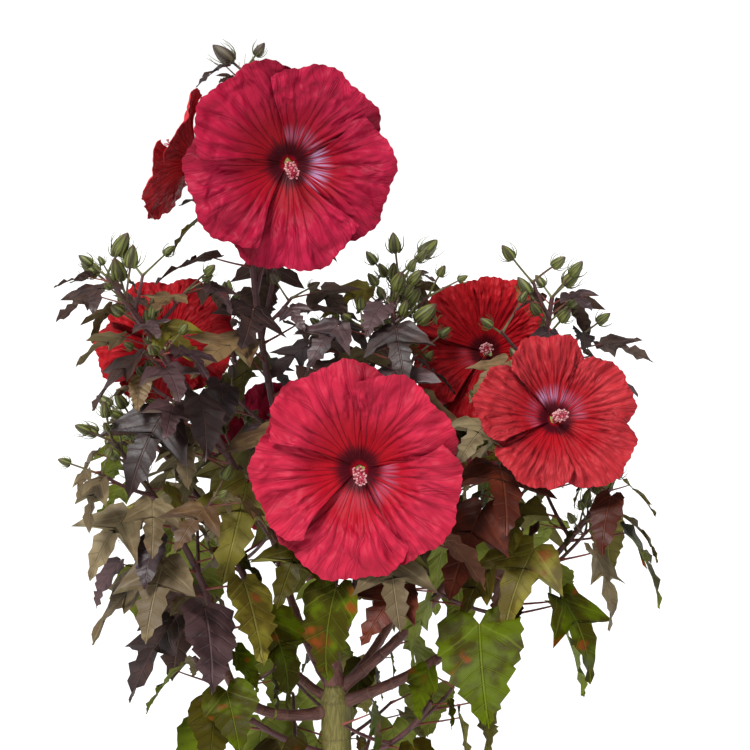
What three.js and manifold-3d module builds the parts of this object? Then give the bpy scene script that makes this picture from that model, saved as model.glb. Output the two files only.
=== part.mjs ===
// A hardy hibiscus shrub about a metre tall: a woody trunk cut flat at the ground, boughs that fork from it,
// large round blooms on their stalks, and shoots of lobed leaves and buds.
// Millimetres, +Z up, the front faces -Y.
import * as THREE from "three";
import { mergeVertices } from "three/addons/utils/BufferGeometryUtils.js";
import Module from "manifold-3d";

const wasm = await Module();
wasm.setup();

// The driving sizes
const forkHeight = 285; // ground to the fork of the trunk
const trunkLean = [-4, 3]; // how far the fork stands off the foot, along X and Y
const footRadius = 27; // root flare at the ground
const trunkRadius = 17.5;
const forkRadius = 12.5;
const jointGap = 0.3; // between two pieces that carry each other
const cutterSwell = 0.39; // how far a cutter is swollen so that its flats keep that gap
const clearance = 1.2; // least way between a leaf and any other piece
const leafGap = 0.6; // least way between two leaves of one mass
const smoothing = 0.2; // details finer than this are evened out
const bladeSpace = 4.6; // how much room a place on a blade takes round it
const petioleSpace = 2.6;
const woodReach = 2.4; // the same beyond a stem's radius
const bloomMargin = 7;
const openAhead = 1.1; // a bloom keeps this many of its radii open before its face
const petalThickness = 1.6;
const stalkRadius = 3.4; // of a bloom's stalk
const bloomDepth = 0.34; // of the saucer of petals, as a share of its radius
const bowlCurve = 1.7; // how steeply the saucer falls to its throat
const calyxReach = 16; // from the throat back to the stalk's end
const stalkArch = 0.4; // how far a stalk comes out straight behind its bloom, as a share of its length
const columnLength = 0.42; // of the stamens, as a share of the bloom's radius
const leafThickness = 0.016; // of a leaf's length
const thickestPlace = 0.24; // along a leaf: all of its rim is seen from here, in its notches too
const petioleRadius = 1.5;
const twigRadius = 3.2;
const stemRadius = 4.2;
const twigRadii = [twigRadius, twigRadius * 0.75];
const budLength = 21;
const budRadius = 6.6;
const budPlaces = [0.1, 0.6, 1]; // along a bud, that stand for it
const lowestLeaf = 40; // no leaf tip comes nearer the ground
const trunkView = 24; // to each side of the trunk and below trunkTop, no leaf hangs in front of it
const trunkTop = 300;
const placeStep = 8; // along a limb, between the places that stand for it
const spiral = THREE.MathUtils.degToRad(137.5); // from one leaf to the next round a stem

const barkColour = 0x8d8256;
const boughColour = 0x5d3a3a;
const petalColour = 0xb32a44;
const purpleLeafColour = 0x4a3436;
const bronzeLeafColour = 0x5d5136;
const greenLeafColour = 0x4c7a1e;

const up = new THREE.Vector3(0, 0, 1);
const vec = (x, y, z) => new THREE.Vector3(x, y, z);

// How leaves, buds and twigs leave a stem. Angles are in radians, and lengths in millimetres or as the
// comment says. A pair is the least and how much chance adds to it.
const leafGrowth = {
  tries: 9, // sides of the stem that a leaf tries
  turnEach: 0.9, // round the stem from one try to the next
  shrinkEach: 0.045,
  opening: [0.95, 0.4], // between stem and petiole
  petiole: [0.38, 0.36], // in leaf lengths
  droopSpread: 0.7,
  swingSpread: 0.9,
  rollSpread: 0.8,
  bend: [0.35, 0.5], // along the blade
  stemSpan: [0.04, 0.94], // the part of a stem that bears leaves
  stemSize: 1.2, // of the lowest leaf, in its usual lengths
  taper: 0.5, // how much smaller they are at the stem's tip
  sideStep: 0.8, // round the stem from the first twig to the first leaf
  twigSize: 0.9,
  twigShrink: 0.1,
  twigStart: 0.5, // leaves grow beyond this share of a twig
  twigFan: 1.5,
};
const budGrowth = {
  tries: 4,
  span: 0.3, // buds grow on this last share of a stem
  lean: [0.35, 0.6],
  climb: 0.8,
  size: [0.75, 0.4],
  stalk: [12, 26],
};
const twigGrowth = {
  tries: 5,
  turnEach: 1.3,
  span: [0.1, 0.76], // the part of a stem that bears twigs
  climb: [0.4, 0.6],
  length: [0.55, -0.2], // in reaches of its mass, less towards the stem's tip
  sag: 0.1, // in its own lengths
  ownRoom: 0.3, // its foot may share its neighbours' room up to this share of it
};

// Each bough: the limb it grows on and how far along that, its tip, how far out it runs before it climbs
// (1 is level at first, 0 is upright at first), how far it sags, and its radii.
const boughs = {
  leader: { on: "trunk", at: 1, tip: [-38, 2, 470], sweep: 0.35, sag: 0, radii: [8.4, 5.6] },
  bough_left: { on: "trunk", at: 0.9, tip: [-124, -36, 330], sweep: 0.9, sag: 26, radii: [6.4, 4.6] },
  bough_left_back: { on: "trunk", at: 0.93, tip: [-94, 52, 366], sweep: 0.7, sag: 8, radii: [5.6, 4.2] },
  bough_left_high: { on: "leader", at: 0.5, tip: [-98, -26, 500], sweep: 0.6, sag: 6, radii: [5.2, 4.2] },
  bough_right: { on: "trunk", at: 0.92, tip: [138, -26, 340], sweep: 0.55, sag: 8, radii: [6.6, 4.6] },
  bough_right_high: { on: "trunk", at: 0.97, tip: [122, 8, 400], sweep: 0.55, sag: 8, radii: [6.4, 4.6] },
  bough_centre: { on: "leader", at: 0.14, tip: [18, -62, 392], sweep: 0.6, sag: 4, radii: [5, 4.2] },
  bough_centre_high: { on: "leader", at: 0.5, tip: [40, 2, 500], sweep: 0.6, sag: 6, radii: [5, 4.2] },
  bough_back_left: { on: "trunk", at: 0.96, tip: [-70, 104, 410], sweep: 0.6, sag: 8, radii: [5.8, 4.2] },
  bough_back_right: { on: "trunk", at: 0.95, tip: [84, 100, 390], sweep: 0.6, sag: 8, radii: [5.8, 4.2] },
  bough_back: { on: "leader", at: 0.3, tip: [2, 66, 450], sweep: 0.6, sag: 4, radii: [5, 4.2] },
};

// Each bloom: the limb or the mass whose stem carries it and how far along, the middle of its rim, which way
// it faces (degrees round from the front towards the right, and above level), its radius, its petals' turn,
// and where it isn't the usual, how much room it keeps open before its face and how far its stalk arches.
const blooms = {
  bloom_top: {
    on: "leaves_top", at: 0.56, rim: [-48, -74, 842],
    turn: 4, lift: -4, radius: 108, spin: 59,
  },
  bloom_centre: {
    on: "bough_centre", at: 0.86, rim: [20, -146, 536],
    turn: -6, lift: 4, radius: 109, spin: 34,
  },
  bloom_right: {
    on: "leaves_right_high", at: 0.16, rim: [228, -96, 590],
    turn: 6, lift: 24, radius: 86, spin: 30, open: 0.9,
  },
  bloom_right_back: {
    on: "leaves_right_high", at: 0.5, rim: [158, 56, 646],
    turn: -8, lift: 18, radius: 82, spin: 50, open: 0.3,
  },
  bloom_side: {
    on: "leaves_top", at: 0.63, rim: [-171, 26, 856],
    turn: -100, lift: 26, radius: 78, spin: 10,
  },
  bloom_left: {
    on: "leaves_left_high", at: 0.4, rim: [-186, 24, 658],
    turn: -6, lift: 34, radius: 76, spin: 44, open: 0.3,
  },
  bloom_back: {
    on: "leaves_back", at: 0.2, rim: [-60, 236, 500],
    turn: 190, lift: 14, radius: 100, spin: 25,
  },
  bloom_back_right: {
    on: "leaves_back_right", at: 0.35, rim: [176, 206, 560],
    turn: 148, lift: 10, radius: 98, spin: 5,
  },
  bloom_back_top: {
    on: "leaves_top", at: 0.46, rim: [-56, 128, 830],
    turn: 184, lift: 6, radius: 92, spin: 38, arch: 0.3,
  },
};

// Each mass of leaves: the limb whose tip it continues (or the trunk, and how far up), the tip of its own
// stem, how far its leaves reach from that stem, its twigs, the leaves on its stem and on each twig, its
// buds, and its seed. Some have smaller leaves than usual.
const masses = {
  leaves_top: {
    on: "leader", tip: [-100, 10, 942], reach: 130, seed: 1730,
    twigs: 3, leaves: 22, twigLeaves: 2, buds: 5, taper: 0.72,
  },
  leaves_left_high: {
    on: "bough_left_high", tip: [-238, -62, 728], reach: 150, seed: 359,
    twigs: 4, leaves: 15, twigLeaves: 3, buds: 5,
  },
  leaves_left: {
    on: "bough_left", tip: [-234, -62, 556], reach: 190, seed: 3172,
    twigs: 4, leaves: 22, twigLeaves: 4, buds: 4, size: 0.84,
  },
  leaves_right: {
    on: "bough_right", tip: [288, -46, 506], reach: 170, seed: 963,
    twigs: 3, leaves: 9, twigLeaves: 2, buds: 1,
  },
  leaves_right_high: {
    on: "bough_right_high", tip: [226, -24, 704], reach: 170, seed: 1531,
    twigs: 4, leaves: 17, twigLeaves: 3, buds: 5,
  },
  leaves_centre_high: {
    on: "bough_centre_high", tip: [58, -16, 700], reach: 135, seed: 594,
    twigs: 3, leaves: 13, twigLeaves: 3, buds: 5,
  },
  leaves_centre: {
    on: "bough_centre", tip: [50, -112, 450], reach: 140, seed: 217,
    twigs: 3, leaves: 8, twigLeaves: 3, buds: 0,
  },
  leaves_left_back: {
    on: "bough_left_back", tip: [-226, 84, 560], reach: 165, seed: 687,
    twigs: 3, leaves: 11, twigLeaves: 3, buds: 1,
  },
  leaves_back_left: {
    on: "bough_back_left", tip: [-130, 172, 670], reach: 140, seed: 667,
    twigs: 3, leaves: 12, twigLeaves: 3, buds: 2,
  },
  leaves_back_right: {
    on: "bough_back_right", tip: [160, 158, 640], reach: 140, seed: 528,
    twigs: 3, leaves: 12, twigLeaves: 3, buds: 2,
  },
  leaves_back: {
    on: "bough_back", tip: [68, 92, 724], reach: 140, seed: 816,
    twigs: 2, leaves: 13, twigLeaves: 2, buds: 3,
  },
  leaves_low_left: {
    on: "trunk", at: 0.72, tip: [-150, -70, 330], reach: 150, seed: 2175,
    twigs: 3, leaves: 9, twigLeaves: 2, buds: 0,
  },
  leaves_low_right: {
    on: "trunk", at: 0.7, tip: [98, -84, 286], reach: 150, seed: 2959,
    twigs: 3, leaves: 6, twigLeaves: 2, buds: 0,
  },
  leaves_low_back: {
    on: "trunk", at: 0.68, tip: [-10, 118, 300], reach: 150, seed: 707,
    twigs: 3, leaves: 6, twigLeaves: 2, buds: 0,
  },
};

// The same numbers in the same order for the same seed, each from 0 to 1.
function dice(seed) {
  let state = Math.imul(seed, 2654435761) >>> 0;
  const roll = () => {
    state = (Math.imul(state, 1664525) + 1013904223) >>> 0;
    return state / 4294967296;
  };
  for (let i = 0; i < 4; i++) roll();
  return roll;
}

// A limb's centre line from its foot to its tip, and its radius along it.
function limbFrom(foot, tip, sweep, sag, radii) {
  const across = tip.clone().sub(foot);
  const knee = vec(
    foot.x + across.x * sweep,
    foot.y + across.y * sweep,
    foot.z + across.z * (1 - sweep) - sag,
  );
  return { curve: new THREE.QuadraticBezierCurve3(foot, knee, tip), radii };
}

// Puts a geometry built up along Y, from 0 to 1 in y, onto a curve, with its x and z across the curve.
function bendAlong(geometry, curve) {
  const place = geometry.getAttribute("position");
  for (let i = 0; i < place.count; i++) {
    const t = THREE.MathUtils.clamp(place.getY(i), 0, 1);
    const along = curve.getTangent(t);
    const side = vec(0, 1, 0).cross(along);
    if (side.length() < 0.2) side.set(1, 0, 0);
    side.normalize();
    const front = side.clone().cross(along).normalize();
    const at = curve.getPoint(t).addScaledVector(side, place.getX(i)).addScaledVector(front, place.getZ(i));
    place.setXYZ(i, at.x, at.y, at.z);
  }
  return geometry;
}

// A geometry as a closed solid that can be joined and cut.
function solid(geometry) {
  const bare = geometry.index ? geometry.toNonIndexed() : geometry.clone();
  bare.deleteAttribute("normal");
  bare.deleteAttribute("uv");
  const merged = mergeVertices(bare, 1e-3);
  return new wasm.Manifold(
    new wasm.Mesh({
      numProp: 3,
      vertProperties: merged.attributes.position.array,
      triVerts: new Uint32Array(merged.index.array),
    }),
  );
}

function geometryOf(manifold) {
  const mesh = manifold.getMesh();
  return new THREE.BufferGeometry()
    .setAttribute("position", new THREE.BufferAttribute(mesh.vertProperties, 3))
    .setIndex(new THREE.BufferAttribute(mesh.triVerts, 1));
}

function limbSolid(limb, sides, steps, swell = 0) {
  const tube = new THREE.CylinderGeometry(limb.radii[1] + swell, limb.radii[0] + swell, 1, sides, steps);
  return solid(bendAlong(tube.translate(0, 0.5, 0), limb.curve));
}

// The trunk: a flared foot, a slow taper and a blunt top under the fork.
const trunkLimb = {
  curve: new THREE.QuadraticBezierCurve3(
    vec(0, 0, 0),
    vec(0, 0, forkHeight * 0.5),
    vec(trunkLean[0], trunkLean[1], forkHeight),
  ),
  radii: [trunkRadius, forkRadius],
};

function trunkSolid(swell) {
  const profile = [
    [0, 0],
    [footRadius, 0],
    [footRadius * 0.86, 0.03],
    [footRadius * 0.72, 0.09],
    [trunkRadius, 0.22],
    [trunkRadius * 0.94, 0.5],
    [trunkRadius * 0.93, 0.82],
    [trunkRadius * 0.9, 0.93],
    [forkRadius, 0.99],
    [forkRadius * 0.8, 1],
    [0, 1],
  ];
  const points = profile.map(([r, y]) => new THREE.Vector2(r > 0 ? r + swell : 0, y));
  return solid(bendAlong(new THREE.LatheGeometry(points, 12), trunkLimb.curve));
}

// A curved surface's point for one petal. u runs across it from -1 to 1, v from the throat to the rim.
// The bloom's own frame has its axis along +Z and its rim at z = 0.
function petalPoint(radius, start, u, v) {
  const halfSpan = THREE.MathUtils.degToRad(14 + 33 * Math.pow(v, 0.6)); // narrow at the throat
  const corner = 0.16 * Math.pow(Math.abs(u), 3); // the rim falls back towards a petal's corners
  const reach = radius * (0.07 + 0.93 * v) * (1 - corner * v);
  const angle = start + u * halfSpan;
  const share = reach / radius;
  const bowl = -bloomDepth * radius * Math.pow(1 - share, bowlCurve);
  const curl = -0.05 * radius * Math.pow(v, 4); // the rim rolls back
  const lap = 0.035 * radius * u * Math.min(1, v * 1.6); // one edge lies over the next petal, the other under
  return vec(reach * Math.cos(angle), reach * Math.sin(angle), bowl + curl + lap);
}

// The five petals as one saucer: an upper and a lower sheet that meet at the rim, with a step from each petal
// to the next where it laps over it.
function saucerSolid(radius, spin) {
  const rimPlaces = [-0.65, -0.27, 0.23, 0.61]; // across one petal, at its rim
  const ringPlaces = [-0.38, 0.38];
  const ringShare = 0.45; // of the way from the throat to the rim
  const rim = [];
  const ring = [];
  for (let k = 0; k < 5; k++) {
    const start = THREE.MathUtils.degToRad(spin + 72 * k);
    for (const u of rimPlaces) rim.push(petalPoint(radius, start, u, 1));
    for (const u of ringPlaces) ring.push(petalPoint(radius, start, u, ringShare));
  }
  const throat = vec(0, 0, -bloomDepth * radius);
  const points = [...rim];
  const index = [];
  for (const lift of [petalThickness / 2, -petalThickness / 2]) {
    const first = points.length;
    for (const at of ring) points.push(at.clone().add(vec(0, 0, lift)));
    const middle = points.push(throat.clone().add(vec(0, 0, lift))) - 1;
    const face = (a, b, c) => (lift > 0 ? index.push(a, b, c) : index.push(a, c, b));
    for (let i = 0; i < ring.length; i++) {
      const near = first + i;
      const next = first + ((i + 1) % ring.length);
      const [a, b, c] = [2 * i, 2 * i + 1, (2 * i + 2) % rim.length];
      face(middle, near, next);
      face(near, a, b);
      face(near, b, next);
      face(next, b, c);
    }
  }
  const saucer = new THREE.BufferGeometry().setFromPoints(points);
  saucer.setIndex(index);
  return solid(saucer);
}

// Turns a shape made round +Z so that +Z points along a direction, then moves it.
function aim(geometry, direction, at) {
  const turn = new THREE.Quaternion().setFromUnitVectors(up, direction);
  return geometry.applyQuaternion(turn).translate(at.x, at.y, at.z);
}

function bloomAxis(bloom) {
  const turn = THREE.MathUtils.degToRad(bloom.turn);
  const lift = THREE.MathUtils.degToRad(bloom.lift);
  return vec(Math.sin(turn) * Math.cos(lift), -Math.cos(turn) * Math.cos(lift), Math.sin(lift));
}

// The stalk of a bloom, from the limb that carries it to the back of its calyx.
function bloomStalk(bloom) {
  const axis = bloomAxis(bloom);
  const back = vec(...bloom.rim).addScaledVector(axis, -bloomDepth * bloom.radius - calyxReach);
  const foot = limbs[bloom.on].curve.getPoint(bloom.at);
  const knee = back.clone().addScaledVector(axis, -back.distanceTo(foot) * (bloom.arch ?? stalkArch));
  const curve = new THREE.QuadraticBezierCurve3(foot, knee, back);
  return { curve, radii: [stalkRadius, stalkRadius * 0.9] };
}

// A turned shape round +Z from pairs of radius and height.
function turned(profile, sides) {
  const points = profile.map(([r, y]) => new THREE.Vector2(r, y));
  return new THREE.LatheGeometry(points, sides).rotateX(Math.PI / 2);
}

// A bloom: its petals, the calyx cup behind them, the column of stamens before the throat, and its stalk.
function bloomSolid(bloom) {
  const throat = -bloomDepth * bloom.radius;
  const reach = columnLength * bloom.radius;
  const calyxProfile = [[0, -20], [6, -18], [12, -8], [13, 3], [0, 8]];
  const columnProfile = [[0, 0], [3, 0], [5.2, 0.6 * reach], [4.6, 0.95 * reach], [0, reach]];
  const flower = wasm.Manifold.union([
    saucerSolid(bloom.radius, bloom.spin),
    solid(turned(calyxProfile, 6).translate(0, 0, throat)),
    solid(turned(columnProfile, 5).translate(0, 0, throat)),
  ]);
  const aimed = solid(aim(geometryOf(flower), bloomAxis(bloom), vec(...bloom.rim)));
  return aimed.add(limbSolid(bloomStalk(bloom), 5, 4));
}

// How the leaves change from the foot of the plant to its top: long, lobed and nearly level above, broad and
// hanging below.
function leafHabit(height) {
  const rise = THREE.MathUtils.clamp((height - 250) / 450, 0, 1);
  const fullness = Math.sin(Math.PI * Math.min(1, rise * 1.4)); // the longest leaves grow below the middle
  return {
    droop: THREE.MathUtils.degToRad(66 - 50 * rise),
    length: 88 + 10 * fullness - 10 * rise * rise,
    lobes: THREE.MathUtils.clamp(rise * 2.4, 0, 1),
  };
}

// The point of a leaf blade at a polar place: r from the petiole, in lengths, and angle from the midrib.
// It droops along its length and folds up from its midrib.
function bladePoint(leaf, r, angle) {
  const x = r * Math.cos(angle);
  const y = r * Math.sin(angle);
  const bend = leaf.bend;
  const turned = bend * Math.max(x, 0);
  const ahead = x > 0 ? Math.sin(turned) / bend : x;
  const down = x > 0 ? (Math.cos(turned) - 1) / bend : 0;
  const fold = 0.22 * Math.abs(y) - 0.35 * y * y;
  return leaf.base
    .clone()
    .addScaledVector(leaf.ahead, ahead * leaf.length)
    .addScaledVector(leaf.side, y * leaf.length)
    .addScaledVector(leaf.face, (down + fold) * leaf.length);
}

// Half of a leaf's outline as polar places: shoulder, side lobe, notch, flank. A lobed leaf has long side
// lobes and deep notches, a plain one is an oval with teeth.
function leafOutline(lobes) {
  const mix = (plain, lobed) => plain + (lobed - plain) * lobes;
  return [
    [mix(0.3, 0.2), THREE.MathUtils.degToRad(mix(118, 112))],
    [mix(0.5, 0.66), THREE.MathUtils.degToRad(mix(62, 50))],
    [mix(0.6, 0.36), THREE.MathUtils.degToRad(mix(32, 25))],
    [mix(0.8, 0.64), THREE.MathUtils.degToRad(15)],
  ];
}

// A leaf and its petiole as one closed shape: an upper and a lower sheet that meet at the rim and stand
// furthest apart at one place on the midrib, and a three-sided petiole that opens into them and has its root
// in the stem.
function leafSolid(leaf) {
  const half = leafOutline(leaf.lobes);
  const rim = [...half.map(([r, a]) => [r, -a]), [1, 0], ...half.slice().reverse()];
  const points = rim.map(([r, a]) => bladePoint(leaf, r, a));
  for (const lift of [0.5, -0.5]) {
    const middle = bladePoint(leaf, thickestPlace, 0);
    points.push(middle.addScaledVector(leaf.face, lift * leaf.length * leafThickness));
  }
  const way = leaf.base.clone().sub(leaf.root).normalize();
  const under = leaf.ahead.clone().sub(leaf.face);
  under.addScaledVector(way, -under.dot(way)).normalize();
  const left = leaf.side.clone();
  left.addScaledVector(way, -left.dot(way)).addScaledVector(under, -left.dot(under)).normalize();
  for (const [at, r] of [
    [leaf.base, petioleRadius * 0.9],
    [leaf.root, petioleRadius * 0.7],
  ]) {
    points.push(at.clone().addScaledVector(left, r), at.clone().addScaledVector(left, -r));
    points.push(at.clone().addScaledVector(under, r * 1.5));
  }
  // Rim 0 to 8, midrib 9 above and 10 below, petiole 11 to 13 where it meets the blade, 14 to 16 at its root
  const index = [];
  for (const [middle, mouth] of [
    [9, [11, 12]],
    [10, [11, 13, 12]],
  ]) {
    const loop = [0, 1, 2, 3, 4, 5, 6, 7, 8, ...mouth];
    loop.forEach((a, i) => {
      const b = loop[(i + 1) % loop.length];
      if (middle === 9) index.push(middle, a, b);
      else index.push(middle, b, a);
    });
  }
  for (const [a, b] of [
    [11, 12],
    [12, 13],
    [13, 11],
  ]) {
    index.push(a, b + 3, b, a, a + 3, b + 3);
  }
  index.push(14, 16, 15);
  const shape = new THREE.BufferGeometry().setFromPoints(points);
  shape.setIndex(index);
  return solid(shape);
}

// How far a blade reaches at an angle from its midrib, in lengths.
function bladeReach(lobes, angle) {
  const half = [[1, 0], ...leafOutline(lobes).reverse(), [0, Math.PI]];
  const far = Math.abs(angle);
  for (let i = 1; i < half.length; i++) {
    const [r0, a0] = half[i - 1];
    const [r1, a1] = half[i];
    if (far <= a1) return THREE.MathUtils.mapLinear(far, a0, a1, r0, r1);
  }
  return 0;
}

// The places that stand for a leaf when it is tested against its neighbours: a grid over its blade, and its
// petiole.
function leafPlaces(leaf) {
  const step = 0.133; // of the grid, in leaf lengths
  const blade = [];
  for (let i = 0; i < 8; i++) {
    for (let j = -4; j <= 4; j++) {
      const x = 0.07 + step * i;
      const y = step * j;
      const [r, angle] = [Math.hypot(x, y), Math.atan2(y, x)];
      if (r <= bladeReach(leaf.lobes, angle) + 0.04) blade.push(bladePoint(leaf, r, angle));
    }
  }
  const petiole = [0.3, 0.5, 0.7, 0.9].map((t) => leaf.root.clone().lerp(leaf.base, t));
  return { blade, petiole };
}

// The space that is taken: a place, how far it reaches, the mass that owns it, and whether it is wood.
const taken = [];

function occupy(places, reach, owner, wood) {
  for (const p of places) taken.push({ x: p.x, y: p.y, z: p.z, reach, owner, wood });
}

// No leaf grows into a bloom or the way in front of it, so that its face stays open.
function inBloom(p) {
  return Object.values(blooms).some((bloom) => {
    const axis = bloomAxis(bloom);
    const from = p.clone().sub(vec(...bloom.rim));
    const ahead = from.dot(axis);
    const off = Math.sqrt(Math.max(0, from.lengthSq() - ahead * ahead));
    if (off > bloom.radius + bloomMargin || ahead > bloom.radius * (bloom.open ?? openAhead)) return false;
    const share = Math.min(1, off / bloom.radius);
    return ahead > -bloomDepth * bloom.radius * Math.pow(1 - share, bowlCurve) - bloomMargin;
  });
}

// The foot of the plant stays open in front, so that its trunk is seen.
function hidesTrunk(p) {
  return Math.abs(p.x - trunkLean[0] / 2) < trunkView && p.y < 0 && p.z < trunkTop;
}

function isFree(places, reach, owner, ownWoodToo) {
  for (const p of places) {
    if (p.z < lowestLeaf || inBloom(p)) return false;
    for (const o of taken) {
      if (o.wood && o.owner === owner && !ownWoodToo) continue;
      const room = reach + o.reach;
      const dx = p.x - o.x;
      const dy = p.y - o.y;
      const dz = p.z - o.z;
      if (dx * dx + dy * dy + dz * dz < room * room) return false;
    }
  }
  return true;
}

function placesAlong(limb, start = 0) {
  const span = limb.curve.getPoint(0).distanceTo(limb.curve.getPoint(1));
  const count = Math.max(2, Math.round(span / placeStep));
  const places = [];
  for (let i = 0; i <= count; i++) {
    if (i / count >= start) places.push(limb.curve.getPoint(i / count));
  }
  return places;
}

// A leaf on a stem: the petiole leaves the stem at an angle and the blade hangs from its end.
function leafAt(limb, t, azimuth, scale, roll) {
  const chance = ([least, more]) => least + more * roll();
  const spread = (width) => (roll() - 0.5) * width;
  const root = limb.curve.getPoint(t);
  const out = vec(Math.cos(azimuth), Math.sin(azimuth), 0);
  const open = chance(leafGrowth.opening);
  const along = limb.curve.getTangent(t);
  const way = out.clone().multiplyScalar(Math.sin(open)).addScaledVector(along, Math.cos(open)).normalize();
  const habit = leafHabit(root.z);
  const length = habit.length * scale;
  const base = root.clone().addScaledVector(way, length * chance(leafGrowth.petiole));
  const droop = habit.droop + spread(leafGrowth.droopSpread);
  const swing = azimuth + spread(leafGrowth.swingSpread);
  const level = vec(Math.cos(swing), Math.sin(swing), 0);
  const ahead = level.clone().multiplyScalar(Math.cos(droop)).addScaledVector(up, -Math.sin(droop));
  const face = level.clone().multiplyScalar(Math.sin(droop)).addScaledVector(up, Math.cos(droop));
  face.applyAxisAngle(ahead, spread(leafGrowth.rollSpread));
  const side = face.clone().cross(ahead).normalize();
  return { root, base, ahead, face, side, length, bend: chance(leafGrowth.bend), lobes: habit.lobes };
}

// A bud on its thin stalk, at the end of a shoot.
function budAt(limb, t, azimuth, roll) {
  const chance = ([least, more]) => least + more * roll();
  const root = limb.curve.getPoint(t);
  const way = vec(Math.cos(azimuth), Math.sin(azimuth), 0).multiplyScalar(chance(budGrowth.lean));
  way.addScaledVector(limb.curve.getTangent(t), budGrowth.climb).normalize();
  const size = chance(budGrowth.size);
  return { root, way, size, foot: root.clone().addScaledVector(way, chance(budGrowth.stalk)) };
}

// The stem of a mass goes on from its bough's tip, or leaves the trunk.
function stemOf(mass) {
  const carrier = limbs[mass.on].curve;
  const tip = vec(...mass.tip);
  const foot = carrier.getPoint(mass.at ?? 1);
  if (mass.at) {
    const knee = vec(tip.x * 0.7, tip.y * 0.7, foot.z + (tip.z - foot.z) * 0.3);
    const curve = new THREE.QuadraticBezierCurve3(foot, knee, tip);
    return { curve, radii: [stemRadius * 0.9, twigRadius * 0.8] };
  }
  const way = carrier.getTangent(1);
  const knee = foot.clone().addScaledVector(way, foot.distanceTo(tip) * 0.4);
  foot.addScaledVector(way, jointGap);
  const thick = Math.min(stemRadius, limbs[mass.on].radii[1]);
  return { curve: new THREE.QuadraticBezierCurve3(foot, knee, tip), radii: [thick, twigRadius * 0.8] };
}

// The first twig of a stem that finds its way free, out of a few turns round it.
function twigAt(name, mass, stem, first, number) {
  const along = (number + 0.5) / mass.twigs;
  const t = twigGrowth.span[0] + twigGrowth.span[1] * along;
  const root = stem.curve.getPoint(t);
  for (let turn = 0; turn < twigGrowth.tries; turn++) {
    const roll = dice(mass.seed * 2003 + number * 41 + turn);
    const azimuth = first + number * spiral + turn * twigGrowth.turnEach;
    const climb = twigGrowth.climb[0] + twigGrowth.climb[1] * roll();
    const out = vec(Math.cos(azimuth), Math.sin(azimuth), climb).normalize();
    const span = mass.reach * (twigGrowth.length[0] + twigGrowth.length[1] * t);
    const end = root.clone().addScaledVector(out, span);
    const knee = root.clone().lerp(end, 0.5).addScaledVector(up, -twigGrowth.sag * span);
    const twig = { curve: new THREE.QuadraticBezierCurve3(root, knee, end), radii: twigRadii, azimuth };
    const places = placesAlong(twig, twigGrowth.ownRoom);
    if (!isFree(places, twigRadius + woodReach, name, false)) continue;
    occupy(places, twigRadius + woodReach, name, true);
    return twig;
  }
  return null;
}

// The same for a leaf. It shrinks a little with each turn, and its blade stays within the mass's reach of its
// stem.
function freeLeaf(name, mass, stemPlaces, limb, t, azimuth, scale, number) {
  for (let turn = 0; turn < leafGrowth.tries; turn++) {
    const roll = dice(mass.seed * 1009 + number * 37 + turn);
    const size = scale * (mass.size ?? 1) * (1 - leafGrowth.shrinkEach * turn);
    const leaf = leafAt(limb, t, azimuth + turn * leafGrowth.turnEach, size, roll);
    const { blade, petiole } = leafPlaces(leaf);
    const inside = blade.every((p) => stemPlaces.some((q) => q.distanceTo(p) < mass.reach));
    if (!inside || !isFree(blade, bladeSpace, name, true) || blade.some(hidesTrunk)) continue;
    if (!isFree(petiole, petioleSpace, name, false)) continue;
    occupy(blade, bladeSpace, name, false);
    occupy(petiole, petioleSpace, name, false);
    return leaf;
  }
  return null;
}

// The same for a bud near the stem's tip.
function freeBud(name, mass, stem, first, number) {
  for (let turn = 0; turn < budGrowth.tries; turn++) {
    const roll = dice(mass.seed * 3001 + number * 43 + turn);
    const t = 1 - (budGrowth.span * number) / mass.buds;
    const bud = budAt(stem, t, first + number * spiral + turn, roll);
    const places = budPlaces.map((share) => {
      return bud.foot.clone().addScaledVector(bud.way, share * budLength * bud.size);
    });
    if (!isFree(places, budRadius, name, true)) continue;
    occupy(places, budRadius, name, false);
    return bud;
  }
  return null;
}

// The growth of one mass on its stem, in the order in which its twigs, leaves and buds take their space.
// A piece that finds no side open is left out.
function growMass(name, mass) {
  const stem = limbs[name];
  const stemPlaces = placesAlong(stem);
  const first = 2 * Math.PI * dice(mass.seed)();
  const twigs = [];
  for (let k = 0; k < mass.twigs; k++) {
    const twig = twigAt(name, mass, stem, first, k);
    if (twig) twigs.push(twig);
  }
  const leaves = [];
  const keep = (leaf) => leaf && leaves.push(leaf);
  for (let i = 0; i < mass.leaves; i++) {
    const t = leafGrowth.stemSpan[0] + (leafGrowth.stemSpan[1] * (i + 0.5)) / mass.leaves;
    const azimuth = first + leafGrowth.sideStep + i * spiral;
    const scale = leafGrowth.stemSize - (mass.taper ?? leafGrowth.taper) * t * t;
    keep(freeLeaf(name, mass, stemPlaces, stem, t, azimuth, scale, i));
  }
  twigs.forEach((twig, k) => {
    for (let i = 0; i < mass.twigLeaves; i++) {
      const share = i / Math.max(1, mass.twigLeaves - 1);
      const t = leafGrowth.twigStart + (1 - leafGrowth.twigStart) * share;
      const azimuth = twig.azimuth + (i - (mass.twigLeaves - 1) / 2) * leafGrowth.twigFan;
      const scale = leafGrowth.twigSize - leafGrowth.twigShrink * i;
      keep(freeLeaf(name, mass, stemPlaces, twig, t, azimuth, scale, 100 + k * 10 + i));
    }
  });
  const buds = [];
  for (let i = 0; i < mass.buds; i++) {
    const bud = freeBud(name, mass, stem, first, i);
    if (bud) buds.push(bud);
  }
  return { twigs, leaves, buds };
}

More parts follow.
